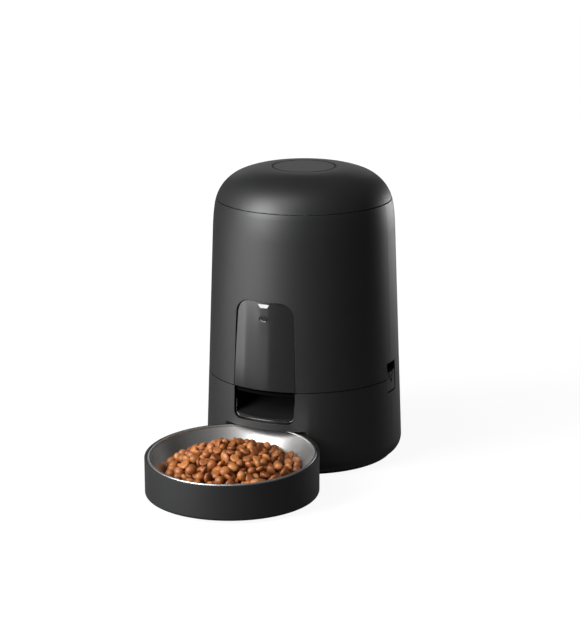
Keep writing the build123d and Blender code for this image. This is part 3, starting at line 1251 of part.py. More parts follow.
# ------------------------------------------------------------------ latches
GUIDE_TOP_Z = DECK_UNDER
GUIDE_FLOOR_Z = PIN_Z - BOLT_HALF_HEIGHT - SLIDE_GAP
RIB_IN = PIN_OUT - BOLT_TRAVEL - PIN_RADIUS - PIN_FIT - RIB_WALL
BOLT_OUT = RIB_IN - SLIDE_GAP
SLANT = degrees(atan2(LATCH_TRAVEL, BOLT_TRAVEL))
for side, name in SIDES:
    # thumb slider: plate in the wall's slot, flange behind the wall, cam rib further in
    with BuildPart() as slider:
        with BuildSketch(Plane.XY.offset(SLIDER_BOTTOM_Z)):
            with Locations((side * (SLIDER_BACK + SLIDER_STOCK / 2), AXIS_Y)):
                Rectangle(SLIDER_STOCK, 2 * SLIDER_HALF)
        extrude(amount=SLIDER_HEIGHT)
        with BuildSketch(SECTION):
            with BuildLine():
                Polyline(
                    (0, 0),
                    (body_radius(0) - SLIDER_INSET, 0),
                    (body_radius(SLOT_TOP_Z) - SLIDER_INSET, SLOT_TOP_Z),
                    (0, SLOT_TOP_Z),
                    close=True,
                )
            make_face()
        revolve(axis=SPIN, mode=Mode.INTERSECT)
        with BuildSketch(Plane.XY.offset(SLIDER_BOTTOM_Z)):
            with Locations((side * (FLANGE_IN + FLANGE_OUT) / 2, AXIS_Y)):
                Rectangle(FLANGE_OUT - FLANGE_IN, 2 * FLANGE_HALF)
        extrude(amount=FLANGE_HEIGHT)
        rib_top = PIN_Z + PIN_RADIUS + PIN_FIT + RIB_HEAD
        rib_bottom = PIN_Z - LATCH_TRAVEL - PIN_RADIUS - PIN_FIT - RIB_FOOT
        with BuildSketch(Plane.XY.offset(rib_bottom)):
            with Locations((side * (RIB_IN + FLANGE_OUT) / 2, AXIS_Y)):
                Rectangle(FLANGE_OUT - RIB_IN, 2 * RIB_HALF)
        extrude(amount=rib_top - rib_bottom)
        with BuildSketch(facing(0)):
            with Locations((side * (PIN_OUT - BOLT_TRAVEL / 2), PIN_Z - LATCH_TRAVEL / 2)):
                SlotCenterToCenter(
                    hypot(BOLT_TRAVEL, LATCH_TRAVEL), 2 * (PIN_RADIUS + PIN_FIT),
                    rotation=side * SLANT,
                )
        extrude(amount=RIB_HALF, both=True, mode=Mode.SUBTRACT)
        # finger ridges near the plate's head
        for step in range(RIDGES):
            ridge_z = SLIDER_BOTTOM_Z + SLIDER_HEIGHT - RIDGE_PITCH * (step + 1)
            ridge_out = body_radius(ridge_z) - SLIDER_INSET / 4
            with BuildSketch(Plane.XY.offset(ridge_z)):
                with Locations((side * (SLIDER_BACK + ridge_out) / 2, AXIS_Y)):
                    Rectangle(ridge_out - SLIDER_BACK, 2 * RIDGE_HALF)
            extrude(amount=RIDGE_PITCH / 2)
    slider.part.label = f"latch_slider_{name}"
    export_step(slider.part, f"parts/latch_slider_{name}.step")

    # bolt: a fork round the rib with a cross pin in the rib's slanted slot
    with BuildPart() as bolt:
        bolt_bottom = PIN_Z - BOLT_HALF_HEIGHT
        with BuildSketch(Plane.XY.offset(bolt_bottom)):
            with Locations((side * (BOLT_OUT - BOLT_HEAD / 2), AXIS_Y)):
                Rectangle(BOLT_HEAD, 2 * BOLT_HALF)
            for edge in (-1, 1):
                arm_in = RIB_HALF + SLIDE_GAP + SNUG
                with Locations((side * (BOLT_OUT + FLANGE_IN - 2 * SNUG) / 2,
                                AXIS_Y + edge * (arm_in + BOLT_HALF) / 2)):
                    Rectangle(FLANGE_IN - 2 * SNUG - BOLT_OUT, BOLT_HALF - arm_in)
        extrude(amount=2 * BOLT_HALF_HEIGHT)
        with BuildSketch(Plane.XY.offset(PIN_Z - TIP_HALF_HEIGHT)):
            with Locations((side * (TIP_IN + BOLT_OUT) / 2, AXIS_Y)):
                Rectangle(BOLT_OUT - TIP_IN, 2 * TIP_HALF)
        extrude(amount=2 * TIP_HALF_HEIGHT)
        with BuildSketch(facing(0)):
            with Locations((side * PIN_OUT, PIN_Z)):
                Circle(PIN_RADIUS)
        extrude(amount=BOLT_HALF, both=True)
    bolt.part.label = f"latch_bolt_{name}"
    export_step(bolt.part, f"parts/latch_bolt_{name}.step")

    # guide under the deck: two cheeks with ledges that carry the bolt, and a bridge
    with BuildPart() as guide:
        guide_in = KEEPER_OUT + GUIDE_SETBACK
        guide_out = FLANGE_IN - GUIDE_GAP
        cheek_in = BOLT_HALF + SLIDE_GAP
        with BuildSketch(Plane.XY.offset(GUIDE_FLOOR_Z - GUIDE_WALL)):
            for edge in (-1, 1):
                with Locations((side * (guide_in + guide_out) / 2,
                                AXIS_Y + edge * (cheek_in + GUIDE_WALL / 2))):
                    Rectangle(guide_out - guide_in, GUIDE_WALL)
        extrude(amount=GUIDE_TOP_Z - GUIDE_FLOOR_Z + GUIDE_WALL)
        with BuildSketch(Plane.XY.offset(GUIDE_FLOOR_Z - GUIDE_WALL)):
            for edge in (-1, 1):
                ledge_in = RIB_HALF + 2 * SLIDE_GAP
                with Locations((side * (guide_in + guide_out) / 2,
                                AXIS_Y + edge * (ledge_in + cheek_in) / 2)):
                    Rectangle(guide_out - guide_in, cheek_in - ledge_in)
        extrude(amount=GUIDE_WALL)
        with BuildSketch(Plane.XY.offset(GUIDE_TOP_Z - GUIDE_WALL)):
            with Locations((side * (guide_in + BOLT_OUT) / 2, AXIS_Y)):
                Rectangle(BOLT_OUT - guide_in, 2 * (cheek_in + GUIDE_WALL))
        extrude(amount=GUIDE_WALL)
    guide.part.label = f"latch_guide_{name}"
    export_step(guide.part, f"parts/latch_guide_{name}.step")

# ================================================================== FOOD TANK
# ------------------------------------------------------------------ outer shell
with BuildPart() as tank_shell:
    top_z = LID_Z - SEAM_GAP / 2
    inner_blend = (BLEND_CENTRE, BLEND_RADIUS - WALL)
    ledge_z = HOPPER_TOP_Z - HOPPER_RIM
    ledge_in = HOPPER_RADIUS + HOPPER_WALL + SNUG
    with BuildSketch(SECTION):
        with BuildLine():
            Line((body_radius(TANK_Z), TANK_Z), (body_radius(TAPER_TOP_Z), TAPER_TOP_Z))
            CenterArc(BLEND_CENTRE, BLEND_RADIUS, DRAFT, BLEND_END - DRAFT)
            CenterArc(SHOULDER_CENTRE, SHOULDER_RADIUS, BLEND_END, shoulder_angle(top_z) - BLEND_END)
            Line(shoulder_point(top_z), shoulder_point(top_z, WALL))
            CenterArc(
                SHOULDER_CENTRE, SHOULDER_RADIUS - WALL, BLEND_END,
                shoulder_angle(top_z, WALL) - BLEND_END,
            )
            CenterArc(*inner_blend, DRAFT, BLEND_END - DRAFT)
            Polyline(
                arc_point(*inner_blend, DRAFT),
                (inner_radius(TANK_Z), TANK_Z),
                (body_radius(TANK_Z), TANK_Z),
            )
        make_face()
    revolve(axis=SPIN)
    # ledge that carries the hopper's rim
    with BuildSketch(level(ledge_z - LEDGE_HEIGHT)):
        Circle(shoulder_point(ledge_z)[0] - WALL / 2)
        Circle(ledge_in, mode=Mode.SUBTRACT)
    extrude(amount=LEDGE_HEIGHT)
    # screw bosses on the wall for the tank floor
    boss_circle = inner_radius(TANK_Z) - BOSS_RADIUS - TANK_FIT - 3 * SNUG
    tank_points = around(boss_circle, TANK_ANGLES)
    with BuildSketch(level(FLOOR_TOP)):
        with Locations(*tank_points):
            Circle(BOSS_RADIUS)
        for angle in TANK_ANGLES:
            with PolarLocations(boss_circle + BOSS_RADIUS, 1, start_angle=angle):
                Rectangle(2 * BOSS_RADIUS - 2, WALL)
    extrude(amount=BOSS_TOP_Z - WALL)
    with BuildSketch(level(FLOOR_TOP)):
        with Locations(*tank_points):
            Circle(SCREW_RADIUS)
    extrude(amount=BOSS_TOP_Z / 2, mode=Mode.SUBTRACT)
    # notch for the control column and the latch windows, open at the foot
    with BuildSketch(facing(FOOT_DEPTH)):
        add(column(PANEL_GAP, DECK_Z))
    extrude(amount=BODY_RADIUS, mode=Mode.SUBTRACT)
    with BuildSketch(Plane.XY.offset(DECK_Z)):
        for side, _ in SIDES:
            with Locations((side * BODY_RADIUS, AXIS_Y)):
                Rectangle(2 * (BODY_RADIUS - FLANGE_OUT) + 2 * WALL, 2 * SLOT_HALF)
    extrude(amount=SLOT_TOP_Z - DECK_Z, mode=Mode.SUBTRACT)
tank_shell.part.label = "tank_shell"
export_step(tank_shell.part, "parts/tank_shell.step")

# ------------------------------------------------------------------ hopper
with BuildPart() as hopper:
    with BuildSketch(SECTION):
        with BuildLine():
            Polyline(
                (HOPPER_RADIUS, HOPPER_TOP_Z),
                (HOPPER_RADIUS + HOPPER_WALL + HOPPER_RIM_OUT, HOPPER_TOP_Z),
                (HOPPER_RADIUS + HOPPER_WALL + HOPPER_RIM_OUT, ledge_z),
                (HOPPER_RADIUS + HOPPER_WALL, ledge_z),
                (HOPPER_RADIUS + HOPPER_WALL, CONE_TOP_Z),
                (ROTOR_CHAMBER + CHAMBER_STEP - SNUG, CONE_BOTTOM_Z),
                (ROTOR_CHAMBER + CHAMBER_STEP - SNUG, CHAMBER_TOP_Z + GUARD),
                (THROAT_RADIUS, CHAMBER_TOP_Z + GUARD),
                (THROAT_RADIUS, CONE_BOTTOM_Z),
                (HOPPER_RADIUS, CONE_TOP_Z),
                close=True,
            )
        make_face()
    revolve(axis=SPIN)
    inner_edges = hopper.edges().filter_by(GeomType.CIRCLE).filter_by(
        lambda e: abs(e.radius - HOPPER_RADIUS) < 0.01 and e.center().Z < HOPPER_TOP_Z - 1
    )
    fillet(inner_edges, HOPPER_BLEND)
hopper.part.label = "hopper"
export_step(hopper.part, "parts/hopper.step")

# ------------------------------------------------------------------ tank floor and rotor chamber
with BuildPart() as rotor_housing:
    disc_radius = inner_radius(DECK_Z) - TANK_FIT
    with BuildSketch(SECTION):
        with BuildLine():
            Polyline(
                (DOG_HOLE, DECK_Z),
                (disc_radius, DECK_Z),
                (disc_radius, FLOOR_TOP),
                (DOG_HOLE, FLOOR_TOP),
                close=True,
            )
        make_face()
    revolve(axis=SPIN)
    # outlet over the chute, room for the control column and the latches, screw holes
    with BuildSketch(level(DECK_Z)):
        add(sector(OUTLET_IN, OUTLET_OUT, OUTLET_HALF))
        with Locations((0, -FOOT_DEPTH + FOOT_ROOM - BODY_RADIUS / 2)):
            Rectangle(2 * (PANEL_HALF + 2 * PANEL_GAP), BODY_RADIUS)
        for side, _ in SIDES:
            with Locations((side * (BOLT_OUT + BODY_RADIUS) / 2, 0)):
                Rectangle(BODY_RADIUS - BOLT_OUT, 2 * (FLANGE_HALF + 2 * SLIDE_GAP))
        with Locations(*tank_points):
            Circle(SCREW_RADIUS)
    extrude(amount=PLATE, mode=Mode.SUBTRACT)
    with BuildSketch(level(DECK_Z)):
        with Locations(*tank_points):
            Circle(HEAD_RADIUS + SNUG)
    extrude(amount=PLATE - TANK_SEAT, mode=Mode.SUBTRACT)
    # keepers that reach into the base, each with a window for a latch bolt
    for side, _ in SIDES:
        with BuildSketch(Plane.XY.offset(DECK_Z)):
            with Locations((side * (KEEPER_IN + KEEPER_OUT) / 2, AXIS_Y)):
                Rectangle(KEEPER_OUT - KEEPER_IN, 2 * KEEPER_HALF)
        extrude(amount=-KEEPER_DEPTH)
        with BuildSketch(Plane.XY.offset(PIN_Z - TIP_HALF_HEIGHT - 2 * SLIDE_GAP)):
            with Locations((side * (KEEPER_IN + KEEPER_OUT) / 2, AXIS_Y)):
                Rectangle(2 * (KEEPER_OUT - KEEPER_IN), 2 * (TIP_HALF + 2 * SLIDE_GAP))
        extrude(amount=2 * (TIP_HALF_HEIGHT + 2 * SLIDE_GAP), mode=Mode.SUBTRACT)
rotor_housing.part.label = "rotor_housing"
export_step(rotor_housing.part, "parts/rotor_housing.step")

# ring wall of the rotor chamber, with a step that holds the outlet's guard
with BuildPart() as rotor_chamber:
    with BuildSketch(level(FLOOR_TOP)):
        Circle(ROTOR_CHAMBER + CHAMBER_STEP + CHAMBER_WALL)
        Circle(ROTOR_CHAMBER, mode=Mode.SUBTRACT)
    extrude(amount=CHAMBER_RIM_Z - FLOOR_TOP)
    with BuildSketch(level(CHAMBER_TOP_Z)):
        Circle(ROTOR_CHAMBER + CHAMBER_STEP)
    extrude(amount=CHAMBER_RIM_Z - CHAMBER_TOP_Z, mode=Mode.SUBTRACT)
rotor_chamber.part.label = "rotor_chamber"
export_step(rotor_chamber.part, "parts/rotor_chamber.step")

with BuildPart() as tank_screws:
    with BuildSketch(level(FLOOR_TOP - TANK_SEAT)):
        with Locations(*tank_points):
            Circle(HEAD_RADIUS)
            RegularPolygon(SCREW_RADIUS, 6, mode=Mode.SUBTRACT)
    extrude(amount=SNUG + TANK_SEAT - PLATE)
    with BuildSketch(level(FLOOR_TOP - PLATE / 2)):
        with Locations(*tank_points):
            Circle(SCREW_RADIUS)
    extrude(amount=TANK_SCREW)
tank_screws.part.label = "tank_screws"
export_step(tank_screws.part, "parts/tank_screws.step")

with BuildPart() as outlet_guard:
    with BuildSketch(level(CHAMBER_TOP_Z)):
        Circle(ROTOR_CHAMBER + CHAMBER_STEP - SNUG)
        Circle(THROAT_RADIUS, mode=Mode.SUBTRACT)
        add(sector(GUARD_IN, ROTOR_CHAMBER, GUARD_HALF))
    extrude(amount=GUARD)
    with BuildSketch(level(CHAMBER_TOP_Z + GUARD)):
        for angle in (270 - GUARD_HALF / 2, 270, 270 + GUARD_HALF / 2):
            with PolarLocations(GUARD_RIB_IN + GUARD_RIB_LENGTH / 2, 1, start_angle=angle):
                Rectangle(GUARD_RIB_LENGTH, GUARD)
    extrude(amount=2 * GUARD)
outlet_guard.part.label = "outlet_guard"
export_step(outlet_guard.part, "parts/outlet_guard.step")

# ------------------------------------------------------------------ dosing rotor
VANE_Z = FLOOR_TOP + ROTOR_LIFT
VANE_TOP_Z = CHAMBER_TOP_Z - ROTOR_TOP_GAP
with BuildPart() as rotor:
    with BuildSketch(SECTION):
        with BuildLine():
            Polyline(
                (0, FLOOR_TOP + SOCKET_DEPTH),
                (0, VANE_TOP_Z),
                (HUB_TOP_RADIUS, VANE_TOP_Z),
                (HUB_RADIUS, VANE_TOP_Z - ROTOR_SHOULDER),
                (CONE_RADIUS, VANE_Z + VANE_WALL),
                (CONE_RADIUS, VANE_Z),
                (CONE_RADIUS - VANE_WALL, VANE_Z),
                (HUB_RADIUS, VANE_TOP_Z - ROTOR_SHOULDER - CONE_WALL),
                (HUB_RADIUS, FLOOR_TOP),
                (DOG_HOLE + SOCKET_RING, FLOOR_TOP),
                (DOG_HOLE + SOCKET_RING, FLOOR_TOP + SOCKET_DEPTH),
                close=True,
            )
        make_face()
    revolve(axis=SPIN)
    with BuildSketch(level(VANE_Z)):
        with PolarLocations((HUB_RADIUS + VANE_RADIUS - VANE_ROOT) / 2, VANES, start_angle=30):
            Rectangle(VANE_RADIUS - HUB_RADIUS + VANE_ROOT, VANE_WALL)
    extrude(amount=VANE_TOP_Z - VANE_Z)
    # six-sided socket for the drive dog, with a floor ring that bears on the tank
    with BuildSketch(level(VANE_Z)):
        Circle(DOG_HOLE + 2 * SOCKET_RING)
        RegularPolygon(DOG_RADIUS + DOG_FIT, 6, mode=Mode.SUBTRACT)
    extrude(amount=SOCKET_DEPTH)
rotor.part.label = "rotor"
export_step(rotor.part, "parts/rotor.step")

with BuildPart() as rotor_wipers:
    with BuildSketch(level(VANE_Z + SLIDE_GAP)):
        with PolarLocations((VANE_RADIUS + WIPER_RADIUS) / 2, VANES, start_angle=30):
            Rectangle(WIPER_RADIUS - VANE_RADIUS, WIPER_WALL)
    extrude(amount=VANE_TOP_Z - VANE_Z - 2 * SLIDE_GAP)
rotor_wipers.part.label = "rotor_wipers"
export_step(rotor_wipers.part, "parts/rotor_wipers.step")

with BuildPart() as stirrer:
    with BuildSketch(level(VANE_TOP_Z)):
        Circle(HUB_TOP_RADIUS)
    extrude(amount=STIR_CAP)
    fillet(stirrer.edges().sort_by(Axis.Z)[-1], STIR_EDGE)
    for arm in range(STIR_ARMS):
        angle = radians(90 + 360 / STIR_ARMS * arm)
        slope = radians(STIR_SLOPE)
        with BuildSketch(Plane(
            origin=(STIR_ROOT * cos(angle), AXIS_Y + STIR_ROOT * sin(angle),
                    VANE_TOP_Z + STIR_ARM_Z),
            z_dir=(cos(angle) * cos(slope), sin(angle) * cos(slope), sin(slope)),
        )):
            Circle(STIR_ARM_RADIUS)
        extrude(amount=STIR_REACH, taper=STIR_TAPER)
stirrer.part.label = "stirrer"
export_step(stirrer.part, "parts/stirrer.step")

# ================================================================== LID
# ------------------------------------------------------------------ domed shell with the knob's well
LID_FOOT_Z = LID_Z + SEAM_GAP / 2
WELL_RADIUS = KNOB_RADIUS + KNOB_GAP
WELL_TOP_Z = WELL_FLOOR_Z + WELL_WALL
with BuildPart() as lid_shell:
    well_out = WELL_RADIUS + WELL_WALL
    inner_crown = CROWN_RADIUS - WALL
    well_angle = degrees(acos((well_out - CROWN_CENTRE[0]) / inner_crown))
    foot_angle = shoulder_angle(LID_FOOT_Z)
    foot_angle_in = shoulder_angle(LID_FOOT_Z, WALL)
    with BuildSketch(SECTION):
        with BuildLine():
            CenterArc(SHOULDER_CENTRE, SHOULDER_RADIUS, foot_angle, SHOULDER_END - foot_angle)
            CenterArc(CROWN_CENTRE, CROWN_RADIUS, SHOULDER_END, 90 - SHOULDER_END)
            Polyline(
                (CROWN_CENTRE[0], CROWN_TOP_Z),
                (WELL_RADIUS, CROWN_TOP_Z),
                (WELL_RADIUS, WELL_TOP_Z),
                (BUSH_RADIUS, WELL_TOP_Z),
                (BUSH_RADIUS, WELL_TOP_Z + BUSH_RISE),
                (STEM_RADIUS + RUNNING_FIT, WELL_TOP_Z + BUSH_RISE),
                (STEM_RADIUS + RUNNING_FIT, WELL_FLOOR_Z),
                (well_out, WELL_FLOOR_Z),
                arc_point(CROWN_CENTRE, inner_crown, well_angle),
            )
            CenterArc(CROWN_CENTRE, inner_crown, SHOULDER_END, well_angle - SHOULDER_END)
            CenterArc(
                SHOULDER_CENTRE, SHOULDER_RADIUS - WALL, foot_angle_in,
                SHOULDER_END - foot_angle_in,
            )
            Line(shoulder_point(LID_FOOT_Z), shoulder_point(LID_FOOT_Z, WALL))
        make_face()
    revolve(axis=SPIN)
    with BuildSketch(level(LID_FOOT_Z)):
        with PolarLocations(LID_SCREW_RADIUS, 4, start_angle=45):
            Circle(BOSS_RADIUS)
    extrude(until=Until.NEXT)
    with BuildSketch(level(LID_FOOT_Z)):
        with PolarLocations(LID_SCREW_RADIUS, 4, start_angle=45):
            Circle(SCREW_RADIUS)
    extrude(amount=LID_SCREW_DEPTH, mode=Mode.SUBTRACT)
lid_shell.part.label = "lid_shell"
export_step(lid_shell.part, "parts/lid_shell.step")

# ------------------------------------------------------------------ liner, seal, screws
PLUG_FOOT_Z = HOPPER_TOP_Z - PLUG_DEPTH
with BuildPart() as lid_liner:
    with BuildSketch(SECTION):
        with BuildLine():
            Polyline(
                (0, LID_FOOT_Z),
                (LINER_RADIUS, LID_FOOT_Z),
                (LINER_RADIUS, HOPPER_TOP_Z),
                (PLUG_RADIUS, HOPPER_TOP_Z),
                (PLUG_RADIUS, SEAL_Z),
                (PLUG_RADIUS + SEAL_BEAD, SEAL_Z),
                (PLUG_RADIUS + SEAL_BEAD, SEAL_Z - SEAL_BEAD),
                (PLUG_RADIUS, SEAL_Z - SEAL_BEAD),
                (PLUG_RADIUS, PLUG_FOOT_Z),
                (PLUG_RADIUS - PLUG_WALL, PLUG_FOOT_Z),
                (PLUG_RADIUS - PLUG_WALL, HOPPER_TOP_Z),
                (CUP_RADIUS, HOPPER_TOP_Z),
                (CUP_RADIUS, PLUG_FOOT_Z),
                (CUP_RADIUS - PLUG_WALL, PLUG_FOOT_Z),
                (CUP_RADIUS - PLUG_WALL, HOPPER_TOP_Z),
                (0, HOPPER_TOP_Z),
                close=True,
            )
        make_face()
    revolve(axis=SPIN)
    with BuildSketch(level(HOPPER_TOP_Z)):
        with PolarLocations(LID_SCREW_RADIUS, 4, start_angle=45):
            Circle(SCREW_RADIUS)
    extrude(amount=LINER, mode=Mode.SUBTRACT)
lid_liner.part.label = "lid_liner"
export_step(lid_liner.part, "parts/lid_liner.step")

with BuildPart() as lid_seal:
    lip_radius = HOPPER_RADIUS - SEAL_GAP
    with BuildSketch(level(SEAL_Z)):
        Circle(PLUG_RADIUS + SEAL_BEAD / 2)
        Circle(PLUG_RADIUS, mode=Mode.SUBTRACT)
    extrude(amount=SEAL_HEIGHT)
    for lip_z in (SEAL_Z + SEAL_HEIGHT / 4, SEAL_Z + 3 * SEAL_HEIGHT / 4):
        with BuildSketch(level(lip_z)):
            Circle(lip_radius)
            Circle(PLUG_RADIUS, mode=Mode.SUBTRACT)
        extrude(amount=SEAL_HEIGHT / 8)
lid_seal.part.label = "lid_seal"
export_step(lid_seal.part, "parts/lid_seal.step")

with BuildPart() as lid_screws:
    with BuildSketch(level(HOPPER_TOP_Z)):
        with PolarLocations(LID_SCREW_RADIUS, 4, start_angle=45):
            Circle(HEAD_RADIUS)
            RegularPolygon(SCREW_RADIUS, 6, mode=Mode.SUBTRACT)
    extrude(amount=-HEAD_HEIGHT)
    with BuildSketch(level(HOPPER_TOP_Z - HEAD_HEIGHT / 2)):
        with PolarLocations(LID_SCREW_RADIUS, 4, start_angle=45):
            Circle(SCREW_RADIUS)
    extrude(amount=HEAD_HEIGHT / 2 + LINER + LID_SCREW)
lid_screws.part.label = "lid_screws"
export_step(lid_screws.part, "parts/lid_screws.step")

# ------------------------------------------------------------------ desiccant
with BuildPart() as desiccant_cover:
    grille_radius = CUP_RADIUS - PLUG_WALL - GRILLE_FIT
    with BuildSketch(level(PLUG_FOOT_Z)):
        Circle(grille_radius)
        with PolarLocations(grille_radius * 0.58, GRILLE_SLOTS):
            SlotOverall(grille_radius * 0.52, 2.4, mode=Mode.SUBTRACT)
    extrude(amount=GRILLE)
    with BuildSketch(level(PLUG_FOOT_Z + GRILLE)):
        Circle(grille_radius)
        Circle(grille_radius - GRILLE, mode=Mode.SUBTRACT)
    extrude(amount=1.5 * GRILLE)
    with BuildSketch(level(PLUG_FOOT_Z)):
        RectangleRounded(grille_radius * 0.4, GRILLE, GRILLE / 2 - 0.1)
    extrude(amount=-2 * GRILLE)
desiccant_cover.part.label = "desiccant_cover"
export_step(desiccant_cover.part, "parts/desiccant_cover.step")

with BuildPart() as desiccant_bag:
    with BuildSketch(level(PLUG_FOOT_Z + GRILLE)):
        Circle(BAG_RADIUS)
    extrude(amount=BAG_HEIGHT)
    fillet(desiccant_bag.edges().filter_by(GeomType.CIRCLE), BAG_HEIGHT / 2 - 0.5)
desiccant_bag.part.label = "desiccant_bag"
export_step(desiccant_bag.part, "parts/desiccant_bag.step")

# ------------------------------------------------------------------ pop-up knob
KNOB_UNDER = CROWN_TOP_Z - KNOB_THICK
CLIP_TOP_Z = WELL_FLOOR_Z - KNOB_TRAVEL - SLIDE_GAP
with BuildPart() as lid_knob:
    with BuildSketch(SECTION):
        with BuildLine():
            Polyline(
                (0, CROWN_TOP_Z),
                (KNOB_RADIUS, CROWN_TOP_Z),
                (KNOB_RADIUS, WELL_TOP_Z + KNOB_SKIRT_GAP),
                (KNOB_RADIUS - KNOB_SKIRT, WELL_TOP_Z + KNOB_SKIRT_GAP),
                (KNOB_RADIUS - KNOB_SKIRT, KNOB_UNDER),
                (STEM_RADIUS, KNOB_UNDER),
                (STEM_RADIUS, CLIP_TOP_Z - CLIP_THICK - STEM_TIP),
                (0, CLIP_TOP_Z - CLIP_THICK - STEM_TIP),
                close=True,
            )
        make_face()
    revolve(axis=SPIN)
    fillet(lid_knob.edges().filter_by(GeomType.CIRCLE).sort_by(Axis.Z)[-1], KNOB_EDGE)
lid_knob.part.label = "lid_knob"
export_step(lid_knob.part, "parts/lid_knob.step")

with BuildPart() as knob_clip:
    with BuildSketch(level(CLIP_TOP_Z - CLIP_THICK)):
        Circle(CLIP_RADIUS)
        Circle(STEM_RADIUS, mode=Mode.SUBTRACT)
        with Locations((0, -CLIP_RADIUS)):
            Rectangle(STEM_RADIUS, 2 * (CLIP_RADIUS - STEM_RADIUS) + 2, mode=Mode.SUBTRACT)
    extrude(amount=CLIP_THICK)
knob_clip.part.label = "knob_clip"
export_step(knob_clip.part, "parts/knob_clip.step")

with BuildPart() as knob_spring:
    spring_height = KNOB_UNDER - WELL_TOP_Z - 2 * SPRING_WIRE - 0.2
    with BuildLine(level(WELL_TOP_Z + SPRING_WIRE + 0.1)) as coil:
        Helix(spring_height / SPRING_TURNS, spring_height, SPRING_RADIUS)
    with BuildSketch(Plane(origin=coil.line @ 0, z_dir=coil.line % 0)):
        Circle(SPRING_WIRE)
    sweep(is_frenet=True)
knob_spring.part.label = "knob_spring"
export_step(knob_spring.part, "parts/knob_spring.step")

# ================================================================== BOWL
HOLDER_SECTION = Plane(origin=(0, AXIS_Y - BOWL_REACH, 0), x_dir=(1, 0, 0), z_dir=(0, -1, 0))
WALL_TOP_RADIUS = BOWL_RADIUS - 2 * RIM_BEAD + 0.3
with BuildPart() as steel_bowl:
    with BuildSketch(BOWL_SECTION):
        with BuildLine():
            FilletPolyline(
                (0, -BOWL_DEPTH),
                (BOWL_FLOOR_RADIUS, -BOWL_DEPTH),
                (WALL_TOP_RADIUS, -RIM_BEAD),
                radius=BOWL_CORNER,
            )
            offset(amount=BOWL_SHEET, side=Side.RIGHT)
        make_face()
        with Locations((BOWL_RADIUS - RIM_BEAD, -RIM_BEAD)):
            Circle(RIM_BEAD)
    revolve(axis=BOWL_AXIS)
steel_bowl.part.label = "steel_bowl"
export_step(steel_bowl.part, "parts/steel_bowl.step")

with BuildPart() as bowl_holder:
    with BuildSketch(HOLDER_SECTION):
        with BuildLine():
            Polyline(
                (0, FOOT_HEIGHT),
                (HOLDER_RADIUS, FOOT_HEIGHT),
                (HOLDER_RADIUS, BAY_TOP_Z),
                (0, BAY_TOP_Z),
                close=True,
            )
        make_face()
    revolve(axis=Axis(HOLDER_SECTION.origin, (0, 0, 1)))
    fillet(bowl_holder.edges().sort_by(Axis.Z)[0], HOLDER_EDGE)
    split(bisect_by=BOWL_RIM.offset(-HOLDER_DROP), keep=Keep.BOTTOM)
    # hollow for the steel bowl, with a ledge under its rim
    cavity_floor = -BOWL_DEPTH - BOWL_SHEET - HOLDER_FLOOR_GAP
    with BuildSketch(BOWL_SECTION):
        with BuildLine():
            Polyline(
                (0, cavity_floor),
                (BOWL_FLOOR_RADIUS + HOLDER_CLEARANCE, cavity_floor),
                (WALL_TOP_RADIUS + BOWL_SHEET + HOLDER_CLEARANCE - 0.4, -2 * RIM_BEAD),
                (BOWL_RADIUS + HOLDER_LIP_GAP, -2 * RIM_BEAD),
                (BOWL_RADIUS + HOLDER_LIP_GAP, RIM_BEAD),
                (0, RIM_BEAD),
                close=True,
            )
        make_face()
    revolve(axis=BOWL_AXIS, mode=Mode.SUBTRACT)
    # hollow underside
    with BuildSketch(Plane(origin=(0, AXIS_Y - BOWL_REACH, FOOT_HEIGHT))):
        Circle(HOLDER_PAD_CIRCLE + HOLDER_PAD_RADIUS + 4.0)
    extrude(amount=UNDER_RECESS, mode=Mode.SUBTRACT)
    with BuildSketch(Plane.XY.offset(TONGUE_Z)):
        with Locations(*TONGUE_POINTS):
            Rectangle(TONGUE_WIDTH, TONGUE_END - TONGUE_ROOT)
    extrude(amount=TONGUE_HEIGHT)
bowl_holder.part.label = "bowl_holder"
export_step(bowl_holder.part, "parts/bowl_holder.step")

with BuildPart() as holder_pads:
    with BuildSketch(Plane(origin=(0, AXIS_Y - BOWL_REACH, 0))):
        with PolarLocations(HOLDER_PAD_CIRCLE, 4, start_angle=45):
            Circle(HOLDER_PAD_RADIUS)
    extrude(amount=FOOT_HEIGHT + UNDER_RECESS)
    fillet(holder_pads.faces().sort_by(Axis.Z).group_by(Axis.Z)[0].edges(), PAD_HEIGHT / 4)
holder_pads.part.label = "holder_pads"
export_step(holder_pads.part, "parts/holder_pads.step")
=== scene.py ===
"""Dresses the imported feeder: materials, kibble, light and camera.  Metres, the CAD's own frame."""

import math

import bpy
import bmesh
import numpy as np
from mathutils import Matrix, Vector


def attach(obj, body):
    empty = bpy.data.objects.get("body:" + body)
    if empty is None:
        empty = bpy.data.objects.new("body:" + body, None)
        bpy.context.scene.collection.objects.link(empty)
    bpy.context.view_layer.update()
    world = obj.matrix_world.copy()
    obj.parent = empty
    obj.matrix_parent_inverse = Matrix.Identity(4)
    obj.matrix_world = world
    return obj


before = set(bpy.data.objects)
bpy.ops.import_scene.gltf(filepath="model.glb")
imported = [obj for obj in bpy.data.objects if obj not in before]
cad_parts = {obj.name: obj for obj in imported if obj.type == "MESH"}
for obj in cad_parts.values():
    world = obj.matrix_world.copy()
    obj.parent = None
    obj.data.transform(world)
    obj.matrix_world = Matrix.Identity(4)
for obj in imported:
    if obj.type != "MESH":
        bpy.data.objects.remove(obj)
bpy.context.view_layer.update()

# places taken over from the CAD
BODY_Y = 0.066573                 # the body's axis
BODY_RADIUS = 0.088               # at the parting line
SEAM_Z = 0.0786                   # parting line
DRAFT = math.tan(math.radians(2.12))
PANEL_SLOPE = math.tan(math.radians(3.2))
CROWN_Z = 0.266865                # flat top of the dome
KNOB_RADIUS = 0.02885
BUTTON_Z = 0.1439
BOWL_Y = BODY_Y - 0.147           # the bowl's axis
BOWL_RIM_Z = 0.0382
